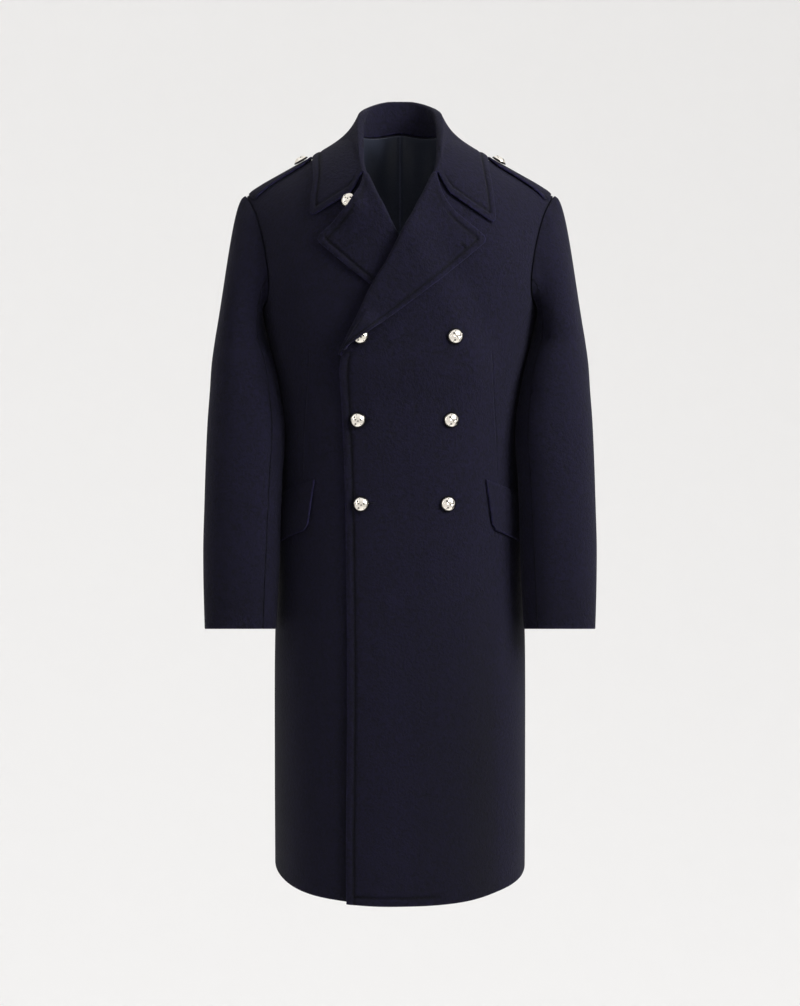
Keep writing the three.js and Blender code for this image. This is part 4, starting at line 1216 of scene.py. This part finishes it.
def dart_relief(grid):
    """The dart's pressed furrow, with the cloth a little proud beside it."""
    z = grid.points[..., 2]
    share = dart_share(grid.u[:, :1])[:, 0]
    at = np.array([np.interp(share[row], grid.v[row], grid.first[row]) for row in range(len(share))])
    run = grid.first - at[:, None]
    top, end, fade = DART_LINE.top, DART_LINE.end, DART_LINE.fade
    within = smooth(top + fade, top - fade, z) * smooth(end, end + fade, z)
    pad = DART_LINE.pad * bell(np.abs(run) - DART_LINE.pad_at, DART_LINE.pad_half)
    return within * (pad - DART_LINE.deep * bell(run, DART_LINE.half))


def front_relief(grid, turn):
    """Edge and hem stitching, the dart, and the soft drape of the skirt."""
    edge = groove(grid.first) * smooth(*EDGE_STITCHED, grid.points[..., 2])
    hem = groove(grid.bottom) * smooth(*HEM_STITCHED, grid.first) * smooth(*HEM_CORNER, grid.first)
    waves = ((1, 9.5, turn), (0.5, 17, 2 * turn))
    return edge + hem + dart_relief(grid) + skirt_drape(grid, FRONT_SKIRT, waves)


def front_grid(stands_off, longer):
    """A front's grid, with the column nearest its dart replaced by close ones along it."""
    surface = front_surface(stands_off, longer)
    grid = sample(surface, GRID_STEPS["front"], bottom=STITCHED, first=STITCHED, warp=front_warp)
    share = dart_share(grid.u[:, :1])
    row = len(grid.v) // 3
    keep = np.ones(grid.v.shape[1], dtype=bool)
    keep[np.argmin(np.abs(grid.v[row] - share[row]))] = False
    beside = share + np.array(DART_LINE.beside) / grid.first[:, -1:]
    beside = np.clip(beside, DART_LINE.least, 1 - DART_LINE.least)
    v = np.sort(np.concatenate([grid.v[:, keep], beside], axis=1), axis=1)
    u = np.broadcast_to(grid.u[:, :1], v.shape)
    return measured(u, v, surface(u, v))


def build_fronts():
    wool = finish("navy_wool")
    for side, stands_off, longer in (("left", lap, LAP_LONGER), ("right", flat, 0)):
        mirror = side == "right"
        grid = front_grid(stands_off, longer)
        relief = front_relief(grid, FRONT_SKIRT.turns[side])
        sewn = {"last": slice(None), "top": slice(None)}
        piece = make_cloth(f"{side}_front_cloth", grid, CLOTH, (0, -1, 0), relief, wool, mirror, sewn)
        place_piece(piece, f"{side}_front")
        top = int(np.argmax(grid.points[:, 0, 2] > EDGE_STITCH_TOP))
        edge = line_of(grid, slice(STITCH_LINE, top), STITCH_LINE)
        end = int(np.argmax(grid.first[STITCH_LINE] > HEM_STITCH_END))
        hem = line_of(grid, STITCH_LINE, slice(end, STITCH_LINE, -1))
        make_stitches(f"{side}_front_topstitch", [join_lines(hem, edge)], mirror)


def build_backs():
    wool = finish("navy_wool")
    for side in ("left", "right"):
        grid = sample(back_surface, GRID_STEPS["back"])
        armhole = slice(int(np.argmax(grid.points[:, -1, 2] > ARMHOLE_LOW)), None)
        sewn = {"last": armhole, "top": None}
        if side == "left":
            sewn["first"] = slice(None)
        relief = skirt_drape(grid, BACK_SKIRT, BACK_SKIRT.waves)
        relief = relief - BACK_SEAM.deep * bell(grid.first, BACK_SEAM.half)
        mirror = side == "right"
        piece = make_cloth(f"{side}_back_cloth", grid, CLOTH, (0, 1, 0), relief, wool, mirror, sewn)
        place_piece(piece, f"{side}_back")


def build_linings():
    satin = finish("lining_satin")
    for side in ("left", "right"):
        grid = sample(lining_surface, GRID_STEPS["lining"])
        piece = make_cloth(f"{side}_back_lining_satin", grid, LINING, (0, 1, 0), 0 * grid.u, satin,
                           side == "right", {"top": None})
        place_piece(piece, f"{side}_back_lining")


def build_lapels():
    wool = finish("navy_wool")
    first_button = (FRONT_BUTTONS[0][1], FRONT_BUTTONS[0][3])
    neck_button = (-NECK_BUTTON[0], NECK_BUTTON[1])
    for side, stands_off, button in (("left", lap, first_button), ("right", flat, neck_button)):
        mirror = side == "right"
        surface = lapel_surface(stands_off, button, mirror)
        grid = sample(surface, GRID_STEPS["lapel"], top=STITCHED, last=STITCHED)
        relief = groove(grid.last) * smooth(*STITCH_CORNER, grid.top)
        relief = relief + groove(grid.top) * smooth(*STITCH_CORNER, grid.last)
        relief = relief * smooth(*LAPEL_RELIEF, grid.first)
        grid = round_corner(grid, "last", "top", TIP_ROUND)
        piece = make_cloth(f"{side}_lapel_cloth", grid, DOUBLED, (0.1, -1, 0.3), relief, wool, mirror)
        place_piece(piece, f"{side}_lapel")
        corner = -1 - STITCH_LINE
        low = int(np.argmax(grid.first[:, corner] > LAPEL_STITCHED[0]))
        edge = line_of(grid, slice(low, len(grid.u) + corner), corner)
        start = int(np.argmax(grid.first[corner] > LAPEL_STITCHED[1]))
        gorge = line_of(grid, corner, slice(grid.u.shape[1] + corner, start, -1))
        make_stitches(f"{side}_lapel_topstitch", [join_lines(edge, gorge)], mirror)


def build_collar():
    grid = sample(collar_surface, GRID_STEPS["collar"], bottom=STITCHED, top=STITCHED, last=STITCHED)
    for end in ("bottom", "top"):
        grid = round_corner(grid, "last", end, TIP_ROUND)
    leaf_from = COLLAR_FOLD_SHARE + LEAF_RELIEF
    inside = smooth(*STITCH_CORNER, grid.last) * smooth(COLLAR_FOLD_SHARE, leaf_from, grid.v)
    ends = (groove(grid.bottom) + groove(grid.top)) * inside
    outer = groove(grid.last) * smooth(*STITCH_CORNER, np.minimum(grid.bottom, grid.top))
    stand_seam = -STAND_SEAM.deep * bell(grid.first - STAND_SEAM.at, STAND_SEAM.half)
    piece = make_cloth("collar_cloth", grid, DOUBLED, (0, 1, 0.3), ends + outer + stand_seam,
                       finish("navy_wool"), False)
    place_piece(piece, "collar")
    rows, columns = grid.u.shape
    corner = -1 - STITCH_LINE
    start = int(np.argmax(grid.v[STITCH_LINE] > leaf_from))
    right_end = line_of(grid, STITCH_LINE, slice(start, columns + corner))
    long_edge = line_of(grid, slice(STITCH_LINE, rows + corner), corner)
    left_end = line_of(grid, corner, slice(columns + corner, start, -1))
    make_stitches("collar_topstitch", [join_lines(right_end, long_edge, left_end)], False)


def sleeve_relief(grid):
    """Slight fullness eased into the sleeve head, and the crumple at the inside of the elbow."""
    z = grid.points[..., 2]
    near_seam = bell(grid.bottom - CAP_EASE.at, CAP_EASE.half)
    ease = CAP_EASE.high * np.sin(grid.first / CAP_EASE.pitch) * near_seam
    crumple = sum(size * bell(z - height - lean * grid.first, ELBOW.half)
                  for height, lean, size in ELBOW_FOLDS)
    cuff = CUFF_DIP.deep * bell(grid.top - CUFF_DIP.at, CUFF_DIP.half)
    return ease + ELBOW.high * crumple * smooth(*ELBOW.shares, grid.v) - cuff


def build_sleeves():
    wool = finish("navy_wool")
    cuts = (("top_sleeve", HIND_SEAM - 360 + SEAM_DEGREES, FRONT_SEAM - SEAM_DEGREES, (1, -0.3, 0)),
            ("under_sleeve", FRONT_SEAM + SEAM_DEGREES, HIND_SEAM - SEAM_DEGREES, (-1, 0, 0)))
    for kind, start, end, outward in cuts:
        for side in ("left", "right"):
            mirror = side == "right"
            grid = sample(sleeve_surface(start, end), GRID_STEPS["sleeve"])
            relief = sleeve_relief(grid) if kind == "top_sleeve" else 0 * grid.u
            kept = slice(None) if kind == "under_sleeve" else None
            sewn = {"first": kept, "last": kept, "bottom": None}
            piece = make_cloth(f"{side}_{kind}_cloth", grid, CLOTH, outward, relief, wool, mirror, sewn)
            place_piece(piece, f"{side}_{kind}")


def build_flaps():
    wool = finish("navy_wool")
    for side, stands_off in (("left", lap), ("right", flat)):
        mirror = side == "right"
        grid = sample(flap_surface(stands_off), GRID_STEPS["flap"])
        free = np.minimum(grid.first, grid.top)
        relief = FLAP_RIM.high * bell(free - FLAP_RIM.at, FLAP_RIM.half)
        relief = relief - FLAP_RIM.seam_deep * bell(grid.bottom - FLAP_RIM.seam_at, FLAP_RIM.seam_half)
        piece = make_cloth(f"{side}_pocket_flap_cloth", grid, TRIM, (0.7, -0.7, 0), relief, wool, mirror)
        place_piece(piece, f"{side}_pocket_flap")


def build_straps():
    wool = finish("navy_wool")
    for side in ("left", "right"):
        mirror = side == "right"
        grid = sample(strap_surface, GRID_STEPS["strap"])
        free = np.minimum.reduce([grid.first, grid.last, grid.bottom])
        relief = STRAP_RIM.high * bell(free - STRAP_RIM.at, STRAP_RIM.half)
        relief = relief - STRAP_RIM.stitch_deep * bell(free - STRAP_RIM.stitch_at, STRAP_RIM.stitch_half)
        relief = relief - STRAP_RIM.end_deep * bell(grid.top, STRAP_RIM.end_half)
        piece = make_cloth(f"{side}_epaulette_cloth", grid, TRIM, (0, 0, 1), relief, wool, mirror)
        place_piece(piece, f"{side}_epaulette")


# Buttons: domed metal with a beaded ring, plain leaves and small pits between them

def button_pits(radius, turn):
    """Share of the way down into the small pits between the leaves and round the heart."""
    x, y = radius * np.cos(turn), radius * np.sin(turn)
    pits = np.zeros(np.broadcast(x, y).shape)
    for count, at, size, start in PITS:
        for k in range(count):
            way = start + 2 * PI * k / count
            pits = np.maximum(pits, bell(np.hypot(x - at * np.cos(way), y - at * np.sin(way)), size))
    return pits


def button_relief(radius, turn):
    """Height of the pattern above the dome, in millimetres, from the button's centre outward."""
    bead = mix(np.cos(BEADS.count * turn), 1, BEADS.level)
    beads = BEADS.high * bell(radius - BEADS.at, BEADS.half) * bead
    leaf = (1 + np.cos(LEAVES.count * turn)) / 2
    leaves = LEAVES.high * bell(radius - LEAVES.at, LEAVES.half) * leaf
    return beads + leaves - PIT_DEEP * button_pits(radius, turn)


def dome_profile(size):
    """Radii, heights and share of the top along a button's profile, from its back to its centre."""
    corners = stack(BUTTON_PROFILE["radius"] * size, BUTTON_PROFILE["height"], 0)
    profile = {**BUTTON_PROFILE, "place": lengths(corners[:, None], 0)[:, 0]}
    along = np.linspace(0, profile["place"][-1], DOME.rings)
    on_top = smooth(profile["place"][2], profile["place"][4], along)
    sharp = np.clip(np.interp(along, profile["place"], profile["radius"]), DOME.least, 1)
    soft = np.clip(follow(profile, "place", along, "radius"), DOME.least, 1)
    return mix(sharp, soft, on_top), follow(profile, "place", along, "height"), on_top


def make_button(name, place, out, node):
    """Turned dome with its relief, closed at the back, standing on the cloth."""
    size = look().button / MM
    radius, height, on_top = dome_profile(size)
    turn = np.arange(DOME.sides) * 2 * PI / DOME.sides
    back = np.zeros((1, DOME.sides))
    relief = np.concatenate([back, button_relief(radius[:, None], turn) * on_top[:, None]])
    # The hollow attribute marks the pits and a ring round the rim, to be painted near black: painted shade
    # and painted reflection of the dark coat.
    edge = smooth(*RIM_SHADE, radius)[:, None]
    pits = np.concatenate([back, np.maximum(button_pits(radius[:, None], turn), edge)])
    rings = np.concatenate([[DOME.least], radius])[:, None] * size
    z = np.concatenate([[0], height])[:, None] + relief
    side = unit(np.cross(out, [0, 0, 1]))
    up = np.cross(side, out)
    points = place + out * BUTTON_LIFT + z[..., None] * out
    points = points + (rings * np.cos(turn))[..., None] * side + (rings * np.sin(turn))[..., None] * up
    points = points.reshape(-1, 3)
    faces = outward_faces(points, tube_faces(1, len(rings), DOME.sides))
    obj = make_mesh(name, points, faces, finish("button_metal"))
    add_shade(obj, "hollow", pits)
    return place_piece(obj, node)


def surface_place(x, z, height):
    angle = front_angle(np.float64(x), np.float64(z))
    return cloth(angle, np.float64(z), np.float64(height)), form_normal(angle, np.float64(z))


def build_buttons():
    for row, right, left, z in FRONT_BUTTONS:
        for side, x in (("right", right), ("left", left)):
            place, out = surface_place(x, z, lap(x, z))
            make_button(f"button_{row}_{side}_dome", place, out, f"button_{row}_{side}")
    place, out = surface_place(*NECK_BUTTON, 0)
    make_button("button_neck_dome", place, out, "button_neck")
    x, y = np.float64(STRAP_BUTTON[0]), np.float64(STRAP_BUTTON[1])
    for side, sign in (("left", 1), ("right", -1)):
        mirror = np.array([sign, 1, 1])
        place = over_shoulder(x, y, STRAP.air + TRIM) * mirror
        make_button(f"button_epaulette_{side}_dome", place, shoulder_normal(x, y) * mirror,
                    f"button_epaulette_{side}")


def build_buttonholes():
    for row, right, _left, z in FRONT_BUTTONS[1:]:
        x = right + HOLE_RIGHT_OF_BUTTON
        place, out = surface_place(x, z + HOLE_ABOVE_BUTTON, lap(x, z))
        make_buttonhole(f"buttonhole_{row}", place, (1, 0, 0), out)
    for side, (x, z, slope) in LAPEL_HOLES.items():
        stands_off = lap(x, z) if side == "left" else 0
        place, out = surface_place(x, z, LAPEL_AIR + DOUBLED + stands_off)
        make_buttonhole(f"buttonhole_lapel_{side}", place, (1, 0, -slope), out, side == "right")


# Stage: floor, light and camera

def build_floor():
    """Pale floor that rises in one curve to a wall all round, so that no horizon shows."""
    turn = np.linspace(0, PI / 2, BOWL_STEPS)
    radius = np.concatenate([FLOOR_RADII, BOWL_FLAT + BOWL_ROUND * np.sin(turn), [BOWL_FLAT + BOWL_ROUND]])
    height = np.concatenate([0 * np.array(FLOOR_RADII), BOWL_ROUND * (1 - np.cos(turn)), [BOWL_WALL]])
    around = np.arange(BOWL_SIDES) * 2 * PI / BOWL_SIDES
    radius, height = radius[:, None], height[:, None] + FLOOR_Z
    points = stack(radius * np.cos(around), radius * np.sin(around), height)
    faces = tube_faces(1, len(radius), BOWL_SIDES)[:(len(radius) - 1) * BOWL_SIDES]
    floor = make_mesh("pale_floor", points.reshape(-1, 3) / MM, faces[:, ::-1], finish("floor"))


def add_light(name, lamp, power):
    """Soft lamp with a place and a size, turned to the coat's chest."""
    light = bpy.data.lights.new(name, "AREA")
    light.shape = "RECTANGLE"
    light.size, light.size_y = lamp.size
    light.energy = power
    light.color = LAMP_COLOUR
    obj = bpy.data.objects.new(name, light)
    obj.location = lamp.place
    obj.rotation_euler = (Vector(CHEST) - Vector(lamp.place)).to_track_quat("-Z", "Y").to_euler()
    bpy.context.scene.collection.objects.link(obj)


def build_lights():
    add_light("key", KEY, look().key)
    add_light("fill", FILL, look().key * look().fill_share)
    world = bpy.data.worlds.new("studio")
    world.use_nodes = True
    shade = world.node_tree.nodes["Background"]
    shade.inputs["Color"].default_value = SKY_COLOUR
    shade.inputs["Strength"].default_value = look().ambient
    bpy.context.scene.world = world


def build_camera():
    camera = bpy.data.cameras.new("camera")
    camera.lens = CAMERA_LENS
    camera.sensor_width = SENSOR
    camera.sensor_fit = "AUTO"
    obj = bpy.data.objects.new("camera", camera)
    obj.location = CAMERA_PLACE
    obj.rotation_euler = (PI / 2 - CAMERA_TILT, 0, 0)
    bpy.context.scene.collection.objects.link(obj)
    bpy.context.scene.camera = obj


def build_stage():
    build_camera()
    build_floor()
    build_lights()
    bpy.context.scene.view_settings.view_transform = "Standard"


# Add-on

class OvercoatLook(bpy.types.PropertyGroup):
    """Sizes, colours and light of the overcoat."""
    button: bpy.props.FloatProperty(
        name="Button", description="Radius of the metal buttons", unit="LENGTH", precision=4,
        default=0.0116, min=0.008, max=0.0125)
    stitch: bpy.props.FloatProperty(
        name="Stitch", description="Length of one topstitch", unit="LENGTH", precision=4,
        default=0.0026, min=0.001, max=0.0032)
    thread: bpy.props.FloatProperty(
        name="Thread", description="Radius of the sewing thread", unit="LENGTH", precision=5,
        default=0.00022, min=0.0001, max=0.0005)
    furrow: bpy.props.FloatProperty(
        name="Furrow", description="Depth of the furrow that the topstitching pulls in", unit="LENGTH",
        precision=4, default=0.0015, min=0, max=0.002)
    drape: bpy.props.FloatProperty(
        name="Drape", description="Height of the soft folds of the skirt", unit="LENGTH", precision=4,
        default=0.0011, min=0, max=0.003)
    wool: bpy.props.FloatVectorProperty(
        name="Wool", description="Colour of the melton", subtype="COLOR", default=(0.0021, 0.00172, 0.0070))
    sheen_colour: bpy.props.FloatVectorProperty(
        name="Nap colour", description="Tint of the light that the nap catches", subtype="COLOR",
        default=(0.52, 0.52, 0.72))
    sheen: bpy.props.FloatProperty(
        name="Nap", description="How much light the nap catches", subtype="FACTOR",
        default=0.02, min=0, max=1)
    lining: bpy.props.FloatVectorProperty(
        name="Lining", description="Colour of the satin", subtype="COLOR", default=(0.038, 0.044, 0.068))
    metal: bpy.props.FloatVectorProperty(
        name="Buttons", description="Colour of the metal", subtype="COLOR", default=(0.84, 0.79, 0.71))
    floor: bpy.props.FloatVectorProperty(
        name="Floor", description="Colour of floor and wall", subtype="COLOR",
        default=(0.845, 0.838, 0.826))
    key: bpy.props.FloatProperty(
        name="Key light", description="Power of the key light", unit="POWER", default=165, min=0)
    fill_share: bpy.props.FloatProperty(
        name="Fill", description="Fill light as a share of the key", subtype="FACTOR",
        default=0.12, min=0, max=2)
    ambient: bpy.props.FloatProperty(
        name="Ambient", description="Strength of the light from all round", default=1.06, min=0)


class OVERCOAT_OT_stage(bpy.types.Operator):
    """Adds the floor, the lights and the camera."""
    bl_idname = "overcoat.stage"
    bl_label = "Stage"

    def execute(self, context):
        build_stage()
        return {"FINISHED"}


class OVERCOAT_OT_fronts(bpy.types.Operator):
    """Builds both fronts with darts and topstitching."""
    bl_idname = "overcoat.fronts"
    bl_label = "Fronts"

    def execute(self, context):
        build_fronts()
        return {"FINISHED"}


class OVERCOAT_OT_backs(bpy.types.Operator):
    """Builds both backs."""
    bl_idname = "overcoat.backs"
    bl_label = "Backs"

    def execute(self, context):
        build_backs()
        return {"FINISHED"}


class OVERCOAT_OT_linings(bpy.types.Operator):
    """Builds the satin inside the upper back."""
    bl_idname = "overcoat.linings"
    bl_label = "Lining"

    def execute(self, context):
        build_linings()
        return {"FINISHED"}


class OVERCOAT_OT_lapels(bpy.types.Operator):
    """Builds both lapels with their rolled fold."""
    bl_idname = "overcoat.lapels"
    bl_label = "Lapels"

    def execute(self, context):
        build_lapels()
        return {"FINISHED"}


class OVERCOAT_OT_collar(bpy.types.Operator):
    """Builds stand, fold and leaf of the collar."""
    bl_idname = "overcoat.collar"
    bl_label = "Collar"

    def execute(self, context):
        build_collar()
        return {"FINISHED"}


class OVERCOAT_OT_sleeves(bpy.types.Operator):
    """Builds the two-piece sleeves."""
    bl_idname = "overcoat.sleeves"
    bl_label = "Sleeves"

    def execute(self, context):
        build_sleeves()
        return {"FINISHED"}


class OVERCOAT_OT_flaps(bpy.types.Operator):
    """Builds both pocket flaps."""
    bl_idname = "overcoat.flaps"
    bl_label = "Pocket flaps"

    def execute(self, context):
        build_flaps()
        return {"FINISHED"}


class OVERCOAT_OT_straps(bpy.types.Operator):
    """Builds both shoulder straps."""
    bl_idname = "overcoat.straps"
    bl_label = "Shoulder straps"

    def execute(self, context):
        build_straps()
        return {"FINISHED"}


class OVERCOAT_OT_buttons(bpy.types.Operator):
    """Builds the nine metal buttons."""
    bl_idname = "overcoat.buttons"
    bl_label = "Buttons"

    def execute(self, context):
        build_buttons()
        return {"FINISHED"}


class OVERCOAT_OT_buttonholes(bpy.types.Operator):
    """Works the buttonholes."""
    bl_idname = "overcoat.buttonholes"
    bl_label = "Buttonholes"

    def execute(self, context):
        build_buttonholes()
        return {"FINISHED"}


STEPS = (
    OVERCOAT_OT_stage, OVERCOAT_OT_fronts, OVERCOAT_OT_backs,
    OVERCOAT_OT_linings, OVERCOAT_OT_lapels, OVERCOAT_OT_collar,
    OVERCOAT_OT_sleeves, OVERCOAT_OT_flaps, OVERCOAT_OT_straps,
    OVERCOAT_OT_buttons, OVERCOAT_OT_buttonholes,
)


class OVERCOAT_PT_panel(bpy.types.Panel):
    """Lists the steps that build the overcoat, and its sizes and colours."""
    bl_label = "Overcoat"
    bl_space_type = "VIEW_3D"
    bl_region_type = "UI"
    bl_category = "Overcoat"

    def draw(self, context):
        for step in STEPS:
            self.layout.operator(step.bl_idname)
        for name in OvercoatLook.__annotations__:
            self.layout.prop(context.scene.overcoat_look, name)


CLASSES = (OvercoatLook, *STEPS, OVERCOAT_PT_panel)


def register():
    for cls in CLASSES:
        bpy.utils.register_class(cls)
    bpy.types.Scene.overcoat_look = bpy.props.PointerProperty(type=OvercoatLook)


def unregister():
    del bpy.types.Scene.overcoat_look
    for cls in reversed(CLASSES):
        bpy.utils.unregister_class(cls)


def main():
    register()
    bpy.ops.overcoat.stage()
    bpy.ops.overcoat.fronts()
    bpy.ops.overcoat.backs()
    bpy.ops.overcoat.linings()
    bpy.ops.overcoat.lapels()
    bpy.ops.overcoat.collar()
    bpy.ops.overcoat.sleeves()
    bpy.ops.overcoat.flaps()
    bpy.ops.overcoat.straps()
    bpy.ops.overcoat.buttons()
    bpy.ops.overcoat.buttonholes()


if __name__ == "__main__":
    main()
